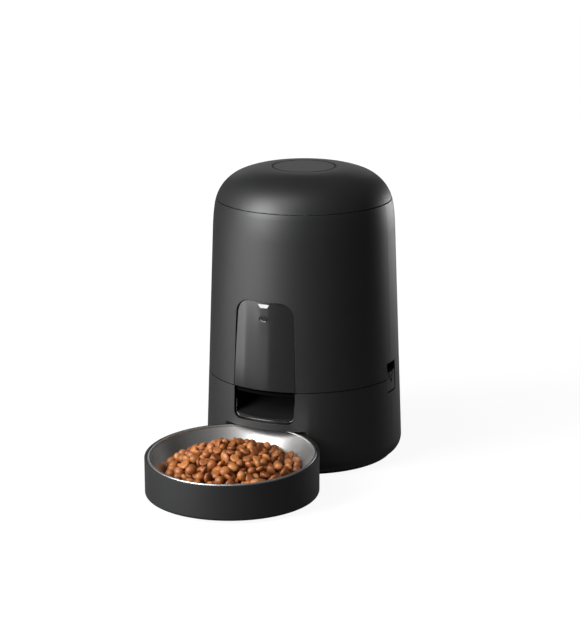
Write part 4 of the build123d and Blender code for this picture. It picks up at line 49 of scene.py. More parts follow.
BOWL_TILT = math.radians(2.6)


# ------------------------------------------------------------------ helpers
def put(name, data):
    """Adds an object to the scene."""
    o = bpy.data.objects.new(name, data)
    bpy.context.scene.collection.objects.link(o)
    return o


def link(m, a, b):
    m.node_tree.links.new(a, b)


def node(m, kind, **values):
    n = m.node_tree.nodes.new(kind)
    for key, value in values.items():
        setattr(n, key, value)
    return n


def new_material(name):
    m = bpy.data.materials.new(name)
    m.use_nodes = True
    m.node_tree.nodes.clear()
    out = node(m, "ShaderNodeOutputMaterial")
    bsdf = node(m, "ShaderNodeBsdfPrincipled")
    link(m, bsdf.outputs[0], out.inputs[0])
    return m, bsdf


def calc(m, operation, a, b):
    """Math node on an output and on an output or a number."""
    n = node(m, "ShaderNodeMath", operation=operation)
    link(m, a, n.inputs[0])
    if isinstance(b, float):
        n.inputs[1].default_value = b
    else:
        link(m, b, n.inputs[1])
    return n.outputs[0]


def vector_calc(m, operation, a, b=None):
    """Vector math node on an output and on a fixed vector."""
    n = node(m, "ShaderNodeVectorMath", operation=operation)
    link(m, a, n.inputs[0])
    if b is not None:
        n.inputs[1].default_value = b
    return n.outputs["Value" if operation == "LENGTH" else "Vector"]


def part_of(m, vector, axis):
    """One of X, Y and Z of a vector."""
    n = node(m, "ShaderNodeSeparateXYZ")
    link(m, vector, n.inputs[0])
    return n.outputs[axis]


def coords(m):
    return node(m, "ShaderNodeTexCoord").outputs["Object"]


def noise(m, vector, scale, detail=3.0, rough=0.5, distortion=0.0):
    n = node(m, "ShaderNodeTexNoise")
    n.inputs["Scale"].default_value = scale
    n.inputs["Detail"].default_value = detail
    n.inputs["Roughness"].default_value = rough
    n.inputs["Distortion"].default_value = distortion
    link(m, vector, n.inputs["Vector"])
    return n.outputs["Fac"]


def cells(m, vector, scale):
    """Distance from the middles of scattered cells."""
    n = node(m, "ShaderNodeTexVoronoi")
    n.inputs["Scale"].default_value = scale
    link(m, vector, n.inputs["Vector"])
    return n.outputs["Distance"]


def spread(m, fac, low, high, lo=0.0, hi=1.0):
    """Maps lo..hi onto low..high."""
    n = node(m, "ShaderNodeMapRange")
    n.inputs["From Min"].default_value = lo
    n.inputs["From Max"].default_value = hi
    n.inputs["To Min"].default_value = low
    n.inputs["To Max"].default_value = high
    link(m, fac, n.inputs["Value"])
    return n.outputs["Result"]


def ramp(m, fac, stops):
    n = node(m, "ShaderNodeValToRGB")
    r = n.color_ramp
    while len(r.elements) < len(stops):
        r.elements.new(0.5)
    for e, (at, colour) in zip(r.elements, stops):
        e.position = at
        e.color = (*colour, 1.0)
    link(m, fac, n.inputs["Fac"])
    return n.outputs["Color"]


def turn_to(m, fac, colour, other):
    """Goes from a colour output to a fixed colour as fac rises."""
    n = node(m, "ShaderNodeMix", data_type="RGBA")
    first, second, result = n.inputs[6], n.inputs[7], n.outputs[2]     # the colour sockets
    link(m, fac, n.inputs["Factor"])
    link(m, colour, first)
    second.default_value = (*other, 1)
    return result


def bump(m, height, strength, distance, normal=None):
    n = node(m, "ShaderNodeBump")
    n.inputs["Strength"].default_value = strength
    n.inputs["Distance"].default_value = distance
    link(m, height, n.inputs["Height"])
    if normal is not None:
        link(m, normal, n.inputs["Normal"])
    return n.outputs["Normal"]


def plastic(name, dark, light, rough, grain=2600.0, depth=0.00002, specular=0.5, edge=None,
            subsurface=0.0):
    """Moulded plastic: a fine spark-eroded grain, soft cloudiness, slightly worn sheen."""
    m, b = new_material(name)
    at = coords(m)
    cloud = noise(m, at, 38.0, 4.0)
    fine = noise(m, at, grain, 2.0)
    link(m, ramp(m, cloud, [(0.3, dark), (0.7, light)]), b.inputs["Base Color"])
    link(m, spread(m, fine, rough - 0.04, rough + 0.04), b.inputs["Roughness"])
    normal = None
    if edge:
        e = node(m, "ShaderNodeBevel", samples=4)
        e.inputs["Radius"].default_value = edge
        normal = e.outputs["Normal"]
    link(m, bump(m, fine, 0.35, depth, normal), b.inputs["Normal"])
    b.inputs["Specular IOR Level"].default_value = specular
    if subsurface:
        b.inputs["Subsurface Weight"].default_value = subsurface
        b.inputs["Subsurface Scale"].default_value = 0.002
    return m


# ------------------------------------------------------------------ materials
WRAP_END_X = (0.0262, 0.0264)     # where the wrap's blue turns into its pale band


shell = plastic("shell_matte_black", (0.0070, 0.0072, 0.0076), (0.0088, 0.0090, 0.0095), 0.49,
                specular=0.68, edge=0.0004)
panel = plastic("panel_satin_black", (0.0046, 0.0047, 0.0050), (0.0056, 0.0057, 0.0061), 0.16,
                grain=3600.0, depth=0.0000012, specular=0.95, edge=0.0004)
dark_inside = plastic("inside_black", (0.008, 0.008, 0.0084), (0.0105, 0.0105, 0.011), 0.6,
                      specular=0.35)
bin_grey = plastic("bin_light_grey", (0.52, 0.53, 0.53), (0.6, 0.61, 0.61), 0.38, grain=1800.0,
                   subsurface=0.1)
rotor_white = plastic("rotor_warm_white", (0.66, 0.65, 0.62), (0.73, 0.72, 0.69), 0.4,
                      grain=1800.0, subsurface=0.12)
nylon = plastic("gear_nylon", (0.72, 0.69, 0.6), (0.82, 0.79, 0.7), 0.42, grain=1500.0,
                subsurface=0.2)
chip = plastic("chip_black", (0.015, 0.015, 0.016), (0.03, 0.03, 0.032), 0.5)
mouth_black = plastic("mouth_black", (0.0030, 0.0030, 0.0031), (0.0042, 0.0042, 0.0043), 0.62,
                      specular=0.3)
deck_black = plastic("deck_black", (0.0012, 0.0012, 0.0013), (0.002, 0.002, 0.0021), 0.8,
                     specular=0.04)
button_black = plastic("button_black", (0.0040, 0.0041, 0.0043), (0.0052, 0.0053, 0.0056), 0.5,
                       specular=0.3)
bead_black = plastic("bead_gloss_black", (0.010, 0.010, 0.0105), (0.013, 0.013, 0.0135), 0.16,
                     specular=0.9)
# painted shade: near-black dull plastic laid in gaps, grooves and the pointer mark, where shade
# falls
painted_shade_black = plastic("painted_shade_black", (0.0012, 0.0012, 0.0013), (0.002, 0.002, 0.0021), 0.85,
                    specular=0.03)
# painted highlight: pale grey for the lit lower edge of the feed button
painted_highlight_grey = plastic("painted_highlight_pale", (0.30, 0.30, 0.31), (0.37, 0.37, 0.38), 0.4)


def steel_material():
    """Spun satin steel: fine rings about the bowl's axis."""
    m, b = new_material("bowl_satin_steel")
    at = coords(m)
    from_axis = vector_calc(m, "SUBTRACT", at, (0.0, BOWL_Y, 0.0))
    level = vector_calc(m, "MULTIPLY", from_axis, (1.0, 1.0, 0.0))
    around = node(m, "ShaderNodeCombineXYZ")
    link(m, vector_calc(m, "LENGTH", level), around.inputs[0])
    link(m, part_of(m, at, "Z"), around.inputs[1])
    rings = noise(m, around.outputs[0], 2400.0, 2.0)
    streak = noise(m, around.outputs[0], 420.0, 3.0)
    cloud = noise(m, at, 45.0, 3.0)
    link(m, ramp(m, streak, [(0.25, (0.50, 0.495, 0.485)), (0.75, (0.57, 0.565, 0.555))]),
         b.inputs["Base Color"])
    rough = calc(m, "ADD", spread(m, rings, 0.28, 0.36), spread(m, cloud, -0.02, 0.02))
    link(m, rough, b.inputs["Roughness"])
    link(m, bump(m, rings, 0.06, 0.00001), b.inputs["Normal"])
    b.inputs["Metallic"].default_value = 1.0
    b.inputs["Anisotropic"].default_value = 0.5
    tangent = node(m, "ShaderNodeTangent", direction_type="RADIAL", axis="Z")
    link(m, tangent.outputs[0], b.inputs["Tangent"])
    return m


def metal(name, colour, rough):
    """Plated or drawn metal: fine grain that darkens and dulls it in spots."""
    m, b = new_material(name)
    fine = noise(m, coords(m), 900.0, 3.0)
    darker = tuple(c * 0.86 for c in colour)
    link(m, ramp(m, fine, [(0.3, darker), (0.7, colour)]), b.inputs["Base Color"])
    link(m, spread(m, fine, rough - 0.06, rough + 0.08), b.inputs["Roughness"])
    link(m, bump(m, fine, 0.15, 0.00002), b.inputs["Normal"])
    b.inputs["Metallic"].default_value = 1.0
    return m


def rubber(name, dark, light, rough=0.7):
    """Dull soft rubber with a fine powdery grain."""
    m, b = new_material(name)
    at = coords(m)
    fine = noise(m, at, 1400.0, 4.0, 0.6)
    cloud = noise(m, at, 60.0, 3.0)
    link(m, ramp(m, cloud, [(0.3, dark), (0.7, light)]), b.inputs["Base Color"])
    link(m, spread(m, fine, rough - 0.06, rough + 0.06), b.inputs["Roughness"])
    link(m, bump(m, fine, 0.4, 0.00004), b.inputs["Normal"])
    b.inputs["Specular IOR Level"].default_value = 0.35
    return m


def board_material():
    """Solder mask with copper traces showing through and small tinned pads."""
    m, b = new_material("board_solder_mask")
    at = coords(m)
    traces = node(m, "ShaderNodeTexBrick")
    traces.inputs["Scale"].default_value = 90.0
    traces.inputs["Mortar Size"].default_value = 0.035
    traces.inputs["Color1"].default_value = (0.006, 0.085, 0.032, 1)
    traces.inputs["Color2"].default_value = (0.008, 0.1, 0.04, 1)
    traces.inputs["Mortar"].default_value = (0.02, 0.2, 0.08, 1)
    turn = node(m, "ShaderNodeMapping")
    turn.inputs["Rotation"].default_value = (0.0, math.radians(90), math.radians(90))
    link(m, at, turn.inputs["Vector"])
    link(m, turn.outputs[0], traces.inputs["Vector"])
    pad = spread(m, cells(m, at, 240.0), 1.0, 0.0, 0.13, 0.16)
    link(m, turn_to(m, pad, traces.outputs["Color"], (0.62, 0.6, 0.5)), b.inputs["Base Color"])
    link(m, spread(m, pad, 0.32, 0.25), b.inputs["Roughness"])
    link(m, bump(m, traces.outputs["Fac"], 0.3, 0.00003), b.inputs["Normal"])
    return m


def wrap_material():
    """Blue shrink wrap of the cells, crinkled, with a pale band at one end."""
    m, b = new_material("cell_wrap")
    at = coords(m)
    crinkle = noise(m, at, 240.0, 4.0, 0.6, 0.4)
    blue = ramp(m, crinkle, [(0.3, (0.01, 0.055, 0.2)), (0.7, (0.014, 0.075, 0.26))])
    band = spread(m, part_of(m, at, "X"), 0.0, 1.0, *WRAP_END_X)
    link(m, turn_to(m, band, blue, (0.65, 0.65, 0.63)), b.inputs["Base Color"])
    link(m, spread(m, crinkle, 0.22, 0.36), b.inputs["Roughness"])
    link(m, bump(m, crinkle, 0.3, 0.0001), b.inputs["Normal"])
    return m


def paper_material():
    """Non-woven sachet: felted fibres over beads that press through."""
    m, b = new_material("sachet_non_woven")
    at = coords(m)
    fibres = noise(m, at, 1500.0, 5.0, 0.7, 1.2)
    link(m, ramp(m, fibres, [(0.3, (0.68, 0.68, 0.66)), (0.7, (0.84, 0.84, 0.82))]),
         b.inputs["Base Color"])
    link(m, spread(m, fibres, 0.75, 0.95), b.inputs["Roughness"])
    first = bump(m, fibres, 0.5, 0.00008)
    link(m, bump(m, cells(m, at, 420.0), 0.5, 0.0005, first), b.inputs["Normal"])
    return m


def lens_material():
    """Milky light pipe, unlit, pale against the black panel."""
    m, b = new_material("lens_milky")
    fine = noise(m, coords(m), 900.0, 2.0)
    link(m, ramp(m, fine, [(0.3, (0.54, 0.55, 0.56)), (0.7, (0.62, 0.63, 0.64))]),
         b.inputs["Base Color"])
    link(m, spread(m, fine, 0.22, 0.3), b.inputs["Roughness"])
    b.inputs["Subsurface Weight"].default_value = 0.4
    b.inputs["Subsurface Scale"].default_value = 0.0015
    return m


def kibble_material():
    """Baked crumb: tan and dark brown in patches, pitted with pores, every piece its own tone."""
    m, b = new_material("kibble_crumb")
    at = coords(m)
    tone = node(m, "ShaderNodeAttribute", attribute_name="tone").outputs["Fac"]
    crumb = noise(m, at, 520.0, 5.0, 0.65)
    pores = noise(m, at, 1500.0, 3.0, 0.6)
    patch = noise(m, at, 170.0, 3.0)
    mixed = calc(m, "ADD", spread(m, tone, -0.27, 0.27), spread(m, patch, 0.15, 0.85))
    link(m, ramp(m, mixed, [
        (0.0, (0.10, 0.026, 0.006)), (0.38, (0.27, 0.082, 0.020)),
        (0.68, (0.42, 0.150, 0.040)), (1.0, (0.58, 0.26, 0.095))]), b.inputs["Base Color"])
    link(m, spread(m, crumb, 0.3, 0.56), b.inputs["Roughness"])
    first = bump(m, crumb, 0.45, 0.0004)
    link(m, bump(m, pores, 0.3, 0.00014, first), b.inputs["Normal"])
    return m


steel = steel_material()
zinc = metal("screw_zinc", (0.62, 0.62, 0.6), 0.34)
can = metal("motor_can", (0.56, 0.56, 0.55), 0.3)
foot = rubber("foot_rubber", (0.016, 0.016, 0.0165), (0.028, 0.028, 0.029))
silicone = rubber("silicone_grey", (0.42, 0.43, 0.44), (0.52, 0.53, 0.54), 0.5)
board = board_material()
wrap = wrap_material()
paper = paper_material()
lens = lens_material()
kibble = kibble_material()

DRESS = {
    shell: ["base_shell", "tank_shell", "lid_shell", "bowl_holder", "lid_knob",
            "latch_slider_right", "latch_slider_left"],
    panel: ["front_panel"],
    button_black: ["feed_button"],
    mouth_black: ["chute"],
    deck_black: ["base_deck"],
    dark_inside: ["bottom_cover", "gear_case", "gear_case_cover", "panel_back",
                  "latch_guide_right", "latch_guide_left"],
    bin_grey: ["hopper", "rotor_housing", "rotor_chamber", "lid_liner", "desiccant_cover"],
    rotor_white: ["rotor", "stirrer", "outlet_guard"],
    nylon: ["output_gear", "idler_gear", "motor_pinion", "drive_dog", "latch_bolt_right",
            "latch_bolt_left"],
    foot: ["base_pads", "holder_pads"],
    silicone: ["rotor_wipers", "lid_seal"],
    steel: ["steel_bowl"],
    zinc: ["bottom_screws", "chute_screws", "gear_case_screws", "motor_screws", "panel_screws",
           "tank_screws", "lid_screws", "idler_pin", "motor_shaft", "knob_clip", "knob_spring"],
    can: ["motor", "charging_port"],
    wrap: ["battery_pack"],
    board: ["main_board", "button_board"],
    chip: ["board_parts", "button_switch"],
    lens: ["status_lens", "status_led"],
    paper: ["desiccant_bag"],
}
for material, names in DRESS.items():
    for name in names:
        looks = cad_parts[name].data.materials
        looks.clear()
        looks.append(material)


# ------------------------------------------------------------------ kibble
HEAP_RADIUS = 0.0655              # edge of the heap from the bowl's axis
HEAP_EDGE_Z = 0.0215
HEAP_TOP_Z = 0.0462
HEAP_POWER = 1.7                  # roundness of the heap's skin
PIECE = (0.0035, 0.0045)          # radius of one piece
BOWL_FLOOR_Z = 0.0112
BOWL_FLOOR_RADIUS = 0.052
BOWL_WALL_RADIUS = 0.0715         # at the rim
WALL_DROP = 0.0013                # the wall's top under the rim
WALL_TOUCH = 0.85                 # of a piece's radius, where it meets the wall
LIFT = 0.0002                     # least step down, and room under a piece
NESTING = 0.92                    # pieces sink a little into each other's round
MISSES, MOST = 260, 1500          # misses in a row, or pieces, that end the filling
ROLLS = (0.002, 0.0012, 0.0007)   # steps of a rolling piece
ROLL_TRIES = 6
ROLL_WAYS = 6
SKIN_SHARE = 0.35                 # of the radius above a piece's middle, under the skin
HIDDEN_DEPTH = 0.0135             # what lies deeper never shows
HIDDEN_SHARE = 0.85               # of the heap's radius, inside which that holds
LENS_SHARE = 0.55                 # of the pieces are lens shaped
LENS_FLAT, ROUND_FLAT = (0.5, 0.62), (0.7, 0.95)          # height to width
LENS_WIDTH = 1.1
RIM_POWER = 0.85                  # below 1: a fuller edge
DISH_START, DISH_DEPTH = 0.5, (0.0, 0.5)
LENGTHS, WIDTHS = (0.95, 1.14), (0.88, 1.03)
DENTS, DENT_DEPTH, DENT_WAVES = 3, 0.05, 2.6
LEAN = 0.6                        # spread of a piece's tilt
SWELL = 1.06                      # drawn size to packed size
TONE, TONE_SPREAD = 0.5, 0.27


def dome(x, y):
    """Height of the heap's skin above a point of the bowl."""
    d = min(1.0, math.hypot(x, y) / HEAP_RADIUS)
    rise = (HEAP_TOP_Z - HEAP_EDGE_Z) * (1.0 - d ** HEAP_POWER)
    return HEAP_EDGE_Z + rise + math.tan(BOWL_TILT) * y


def heap():
    """Drops pieces into the bowl one by one; each rolls down to rest, none above the skin."""
    rng = np.random.default_rng(7)
    slope = (BOWL_RIM_Z - BOWL_FLOOR_Z - WALL_DROP) / (BOWL_WALL_RADIUS - BOWL_FLOOR_RADIUS)
    tilt = math.tan(BOWL_TILT)
    placed = np.zeros((0, 4))

    def rest(x, y, r):
        """Height at which a piece lies on the bowl and on the pieces below."""
        up_wall = max(0.0, math.hypot(x, y) - BOWL_FLOOR_RADIUS + r * WALL_TOUCH)
        z = BOWL_FLOOR_Z + tilt * y + r + LIFT + up_wall * slope
        if len(placed):
            aside = (placed[:, 0] - x) ** 2
            gap = ((placed[:, 3] + r) * NESTING) ** 2 - aside - (placed[:, 1] - y) ** 2
            near = gap > 0
            if near.any():
                z = max(z, float((placed[near, 2] + np.sqrt(gap[near])).max()))
        return z

    missed = 0
    while missed < MISSES and len(placed) < MOST:
        r = rng.uniform(*PIECE)
        a = rng.uniform(0, 2 * math.pi)
        d = HEAP_RADIUS * math.sqrt(rng.uniform())
        x, y = d * math.cos(a), d * math.sin(a)
        z = rest(x, y, r)
        for step in ROLLS:
            for _ in range(ROLL_TRIES):
                turns = rng.uniform(0, 1) + np.arange(ROLL_WAYS) * 2 * math.pi / ROLL_WAYS
                spots = [(x + step * math.cos(b), y + step * math.sin(b), b) for b in turns]
                tries = [(rest(p, q, r), b) for p, q, b in spots if math.hypot(p, q) < HEAP_RADIUS]
                low = min(tries, default=(z, 0.0))
                if low[0] > z - LIFT:
                    break
                z, x, y = low[0], x + step * math.cos(low[1]), y + step * math.sin(low[1])
        if z + SKIN_SHARE * r > dome(x, y):
            missed += 1
            continue
        missed = 0
        placed = np.vstack([placed, [x, y, z, r]])
    return placed, rng


def kibble_mesh():
    """One mesh of all pieces that can show, each with its own shape, turn and tone."""
    placed, rng = heap()
    seed = bmesh.new()
    bmesh.ops.create_icosphere(seed, subdivisions=3, radius=1.0)
    ball = np.array([v.co[:] for v in seed.verts])
    faces = np.array([[v.index for v in f.verts] for f in seed.faces])
    seed.free()
    verts, polys, tones = [], [], []
    for x, y, z, r in placed:
        if z < dome(x, y) - HIDDEN_DEPTH and math.hypot(x, y) < HIDDEN_SHARE * HEAP_RADIUS:
            continue
        lens_shaped = rng.uniform() < LENS_SHARE
        flat = rng.uniform(*(LENS_FLAT if lens_shaped else ROUND_FLAT))
        p = ball.copy()
        # a rounded rim and domed faces; a lens has one face sunk a little
        p[:, 2] = np.sign(p[:, 2]) * np.abs(p[:, 2]) ** RIM_POWER * flat
        if lens_shaped:
            p[:, :2] *= LENS_WIDTH
            p[:, 2] -= np.clip(ball[:, 2] - DISH_START, 0, 1) * rng.uniform(*DISH_DEPTH)
        p[:, 0] *= rng.uniform(*LENGTHS)
        p[:, 1] *= rng.uniform(*WIDTHS)
        for _ in range(DENTS):
            axis = rng.normal(size=3)
            axis /= np.linalg.norm(axis)
            p += ball * (DENT_DEPTH * rng.uniform(-1, 1)
                         * np.sin(DENT_WAVES * ball @ axis + rng.uniform(0, 6)))[:, None]
        turn = Matrix.Rotation(rng.normal(0, LEAN), 3, "X") @ Matrix.Rotation(
            rng.normal(0, LEAN), 3, "Y") @ Matrix.Rotation(rng.uniform(0, 6.28), 3, "Z")
        p = (p * r * SWELL) @ np.array(turn).T + np.array([x, y + BOWL_Y, z])
        polys.append(faces + sum(len(v) for v in verts))
        verts.append(p)
        tones += [float(np.clip(rng.normal(TONE, TONE_SPREAD), 0, 1))] * len(p)
    mesh = bpy.data.meshes.new("kibble_heap")
    mesh.from_pydata(np.vstack(verts).tolist(), [], np.vstack(polys).tolist())
    mesh.polygons.foreach_set("use_smooth", [True] * len(mesh.polygons))
    layer = mesh.attributes.new("tone", "FLOAT", "POINT")
    layer.data.foreach_set("value", tones)
    mesh.materials.append(kibble)
    return put("kibble_heap", mesh)


food = kibble_mesh()
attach(food, "bowl")


# ------------------------------------------------------------------ fine trim
MOUTH_HALF, MOUTH_Z, MOUTH_R = 0.0289, 0.0508, 0.0056     # line along the chute's rim
MOUTH_SIDE_Z = (0.066, 0.060)
MOUTH_FLAT_HALF = 0.022
CHUTE_INSET = 0.00262             # the chute's face behind the wall's
RIM_BEAD = 0.00042
SMILE_HALF = (0.0018, 0.0022)     # painted highlight: line at the button's foot
SMILE_DROP, SMILE_R = 0.0009, 0.0010
SMILE_BEAD, SMILE_PROUD = 0.00017, 0.00002
RING_GAP = 0.00026                # painted shade: dark line around the grip
RING_DROP, RING_BEAD = 0.0002, 0.00024
RING_STEPS = 120
BAND = (0.0011, 0.0008, 0.0005)   # painted shade: dark ring, in from the grip's edge
BAND_RISE = 0.00003
MARK_INSET, MARK_BEAD = 0.00038, 0.0003                   # pointer on the slider, painted shade of its engraving
POINTER = ((-0.0021, 0.0779), (0.0, 0.0779), (0.0021, 0.0779), (0.00105, 0.0764),
           (0.0, 0.0749), (-0.00105, 0.0764))             # across the latch and height
GROOVES_Z = (0.0842, 0.0822, 0.0802)
GROOVE_HALF, GROOVE_INSET, GROOVE_BEAD = 0.0042, 0.0003, 0.00042
FOOT_GAP_Z, FOOT_GAP_HALF, FOOT_GAP_BEAD = 0.06602, 0.0084, 0.0006     # painted shade in the gap under the slider
SIDE_GAP_Y, SIDE_GAP_INSET, SIDE_GAP_BEAD = 0.00876, 0.0003, 0.00023   # painted shade in the gap beside it
SIDE_GAP_LOW = (0.0662, 0.0783)
SIDE_GAP_HIGH = (0.0789, 0.0850)


def wall(x, z, inset=0.0, lean=DRAFT):
    """Point on the front of the round wall, at a given side and height."""
    r = BODY_RADIUS - (z - SEAM_Z) * lean - inset
    return (x, BODY_Y - math.sqrt(r * r - x * x), z)


def bead(name, points, radius, material, body, closed=False):
    """Thin round moulding along a line of points."""
    curve = bpy.data.curves.new(name, "CURVE")
    curve.dimensions = "3D"
    curve.bevel_depth = radius
    curve.bevel_resolution = 3
    curve.use_fill_caps = True
    line = curve.splines.new("POLY")
    line.points.add(len(points) - 1)
    for p, co in zip(line.points, points):
        p.co = (*co, 1.0)
    line.use_cyclic_u = closed
    o = put(name, curve)
    curve.materials.append(material)
    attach(o, body)


def arc(cx, cz, r, start, end, steps=10):
    """Points of an arc, angles in degrees."""
    return [(cx + r * math.cos(math.radians(a)), cz + r * math.sin(math.radians(a)))
            for a in np.linspace(start, end, steps)]


# gloss line on the chute's front face, around the mouth
rim = ([(-MOUTH_HALF, z) for z in MOUTH_SIDE_Z]
       + arc(-MOUTH_HALF + MOUTH_R, MOUTH_Z + MOUTH_R, MOUTH_R, 180, 270)
       + [(x, MOUTH_Z) for x in np.linspace(-MOUTH_FLAT_HALF, MOUTH_FLAT_HALF, 15)]
       + arc(MOUTH_HALF - MOUTH_R, MOUTH_Z + MOUTH_R, MOUTH_R, 270, 360)
       + [(MOUTH_HALF, z) for z in reversed(MOUTH_SIDE_Z)])
bead("chute_rim", [wall(x, z, CHUTE_INSET) for x, z in rim], RIM_BEAD, bead_black, "base")

# painted highlight: pale line along the button's lower edge
smile = (arc(-SMILE_HALF[0], BUTTON_Z - SMILE_DROP, SMILE_R, 165, 270, 7)
         + arc(SMILE_HALF[1], BUTTON_Z - SMILE_DROP, SMILE_R, 270, 300, 4))
bead("button_painted_highlight", [wall(x, z, -SMILE_PROUD, PANEL_SLOPE) for x, z in smile], SMILE_BEAD,
     painted_highlight_grey, "button")


def ring(r, z):
    """Level circle about the body's axis."""
    return [(r * math.cos(a), BODY_Y + r * math.sin(a), z)
            for a in np.linspace(0, 2 * math.pi, RING_STEPS, endpoint=False)]


# dark line around the pop-up grip, and a dark ring just inside its edge: painted shade of the gap
bead("grip_line", ring(KNOB_RADIUS + RING_GAP, CROWN_Z - RING_DROP), RING_BEAD, painted_shade_black,
     "lid", closed=True)
band = bmesh.new()
loops = [[band.verts.new(p) for p in ring(KNOB_RADIUS - inset, CROWN_Z + BAND_RISE)]
         for inset in BAND]
for inner, outer in zip(loops, loops[1:]):
    for i in range(RING_STEPS):
        k = (i + 1) % RING_STEPS
        band.faces.new((inner[i], outer[i], outer[k], inner[k])).smooth = True
mesh = bpy.data.meshes.new("grip_shade_band")
band.to_mesh(mesh)
band.free()
mesh.materials.append(painted_shade_black)
grip_shade_band = put("grip_shade_band", mesh)
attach(grip_shade_band, "knob")


def cheek(side, y, z, inset):
    """Point on the side of the round wall; y is counted from the body's axis."""
    r = BODY_RADIUS - (z - SEAM_Z) * DRAFT - inset
    return (side * math.sqrt(r * r - y * y), BODY_Y + y, z)


def across(side, half, z, inset, steps):
    """Level line over the side of the wall."""
    return [cheek(side, y, z, inset) for y in np.linspace(-half, half, steps)]


def upright(side, span, steps):
    """Line beside the slider, from one height to another."""
    return [cheek(side, SIDE_GAP_Y, z, SIDE_GAP_INSET) for z in np.linspace(*span, steps)]


# pointer and finger grooves on the latches and the gaps around them, all dark: painted shade
for name, side in (("right", 1), ("left", -1)):
    latch = f"latch_{name}"
    bead(f"latch_pointer_{name}", [cheek(side, y, z, MARK_INSET) for y, z in POINTER],
         MARK_BEAD, painted_shade_black, latch, closed=True)
    # the grooves' strokes are painted shade
    for step, z in enumerate(GROOVES_Z):
        bead(f"latch_groove_{name}_{step + 1}", across(side, GROOVE_HALF, z, GROOVE_INSET, 9),
             GROOVE_BEAD, painted_shade_black, latch)
    # the gap under the slider lies as deep as its line is thick
    bead(f"latch_foot_gap_{name}", across(side, FOOT_GAP_HALF, FOOT_GAP_Z, FOOT_GAP_BEAD, 13),
         FOOT_GAP_BEAD, painted_shade_black, "base")
    bead(f"latch_side_gap_{name}", upright(side, SIDE_GAP_LOW, 7), SIDE_GAP_BEAD, painted_shade_black,
         "base")
    bead(f"latch_side_gap_upper_{name}", upright(side, SIDE_GAP_HIGH, 5), SIDE_GAP_BEAD,
         painted_shade_black, "tank")


# ------------------------------------------------------------------ floor, light, camera
FLOOR_HALF = 6.0
FLOOR_GREY = 0.1                  # what the lamps light
FLOOR_NEAR = 0.93                 # glow by the object; the lamps make up the rest
FLOOR_FADE = (0.2, 0.9)           # where the glow rises to full white
GLOSSY_FLOOR = 0.05
GLOSSY_WORLD = 0.065
AMBIENT = 0.13
CAMERA_AZ = math.radians(25.83)
CENTRE = Vector((0.0, BODY_Y, 0.14))
LAMPS = (                         # azimuth, elevation, distance, wide, high, power
    ("key", -56, 22, 1.5, 0.75, 0.76, 31),
    ("high", -62, 46, 1.5, 0.45, 0.35, 7),
    ("side", -84, -3, 0.9, 0.34, 0.12, 0.5),
    ("sill", -64, -3, 0.9, 0.3, 0.12, 0.5),
    ("near_left", -88, -10, 0.5, 0.3, 0.1, 0.14),
    ("near_mid", -58, -10, 0.5, 0.3, 0.1, 0.05),
    ("rim", 136, 0, 1.4, 0.5, 0.3, 5),
    ("back", 180, 16, 1.6, 1.0, 0.25, 1.0),
    ("front", -30, 60, 1.5, 0.3, 0.3, 2.2),
)
LENS = 126.357                    # camera, fitted to the object's outlines
PLACE = Vector((0.83023, -1.67859, 0.64651))
TARGET = Vector((-0.0117, 0.06087, 0.13250))
ROLL = math.radians(-0.165)


def shown_ray(m, path):
    """1 for rays that carry the background to the picture."""
    return calc(m, "MAXIMUM", path.outputs["Is Camera Ray"], path.outputs["Is Transmission Ray"])


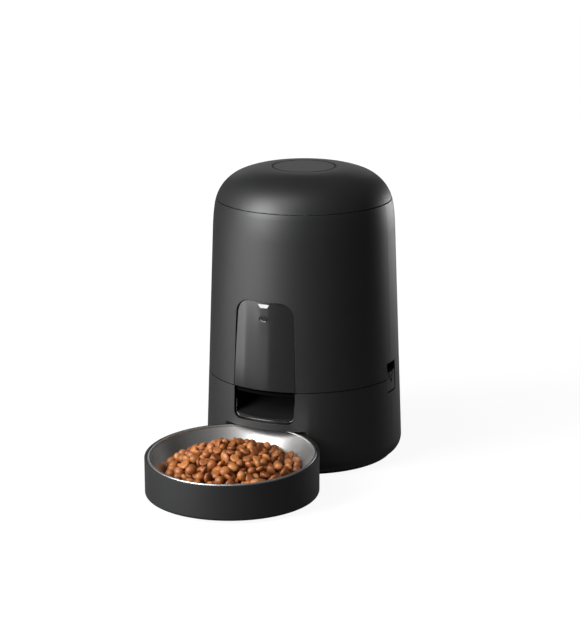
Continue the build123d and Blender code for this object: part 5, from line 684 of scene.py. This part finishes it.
def stage_floor():
    """White floor that keeps the object's soft shadow and stays dark in reflections."""
    s = FLOOR_HALF
    mesh = bpy.data.meshes.new("floor")
    mesh.from_pydata([(-s, -s, 0), (s, -s, 0), (s, s, 0), (-s, s, 0)], [], [(0, 1, 2, 3)])
    m = bpy.data.materials.new("floor_pale")
    m.use_nodes = True
    m.node_tree.nodes.clear()
    out = node(m, "ShaderNodeOutputMaterial")
    add = node(m, "ShaderNodeAddShader")
    diffuse = node(m, "ShaderNodeBsdfDiffuse")
    diffuse.inputs["Color"].default_value = (FLOOR_GREY, FLOOR_GREY, FLOOR_GREY, 1)
    glow = node(m, "ShaderNodeEmission")
    path = node(m, "ShaderNodeLightPath")
    pale = spread(m, vector_calc(m, "LENGTH", coords(m)), FLOOR_NEAR, 1.0, *FLOOR_FADE)
    near = calc(m, "MULTIPLY", shown_ray(m, path), pale)
    soft = calc(m, "MULTIPLY", path.outputs["Is Glossy Ray"], GLOSSY_FLOOR)
    link(m, calc(m, "MAXIMUM", near, soft), glow.inputs["Strength"])
    link(m, diffuse.outputs[0], add.inputs[0])
    link(m, glow.outputs[0], add.inputs[1])
    link(m, add.outputs[0], out.inputs[0])
    mesh.materials.append(m)
    put("floor", mesh)


def stage_world():
    """White to the camera, dim in reflections and as ambient light."""
    w = bpy.data.worlds.new("studio")
    bpy.context.scene.world = w
    w.use_nodes = True
    w.node_tree.nodes.clear()
    out = node(w, "ShaderNodeOutputWorld")
    back = node(w, "ShaderNodeBackground")
    back.inputs["Color"].default_value = (1.0, 1.0, 1.0, 1.0)
    path = node(w, "ShaderNodeLightPath")
    soft = calc(w, "MULTIPLY", path.outputs["Is Glossy Ray"], GLOSSY_WORLD)
    both = calc(w, "MAXIMUM", shown_ray(w, path), soft)
    link(w, calc(w, "MAXIMUM", both, AMBIENT), back.inputs["Strength"])
    link(w, back.outputs[0], out.inputs[0])


def softbox(name, azimuth, elevation, distance, wide, high, power):
    """Rectangular lamp; azimuth is counted from the camera, positive to its right."""
    a = CAMERA_AZ + math.radians(azimuth)
    e = math.radians(elevation)
    at = CENTRE + distance * Vector((math.sin(a) * math.cos(e), -math.cos(a) * math.cos(e),
                                     math.sin(e)))
    lamp = bpy.data.lights.new(name, "AREA")
    lamp.shape = "RECTANGLE"
    lamp.size, lamp.size_y = wide, high
    lamp.energy = power
    o = put(name, lamp)
    o.location = at
    o.visible_camera = False
    o.rotation_mode = "QUATERNION"
    o.rotation_quaternion = (CENTRE - at).to_track_quat("-Z", "Y")


stage_floor()
stage_world()
for values in LAMPS:
    softbox(*values)

view = bpy.data.cameras.new("view")
view.sensor_width = 36.0
view.lens = LENS
view.clip_start, view.clip_end = 0.1, 20.0
camera = put("view", view)
camera.location = PLACE
camera.rotation_mode = "QUATERNION"
camera.rotation_quaternion = (TARGET - PLACE).to_track_quat("-Z", "Y") @ Matrix.Rotation(
    ROLL, 3, "Z").to_quaternion()
bpy.context.scene.camera = camera
bpy.context.scene.view_settings.view_transform = "Standard"
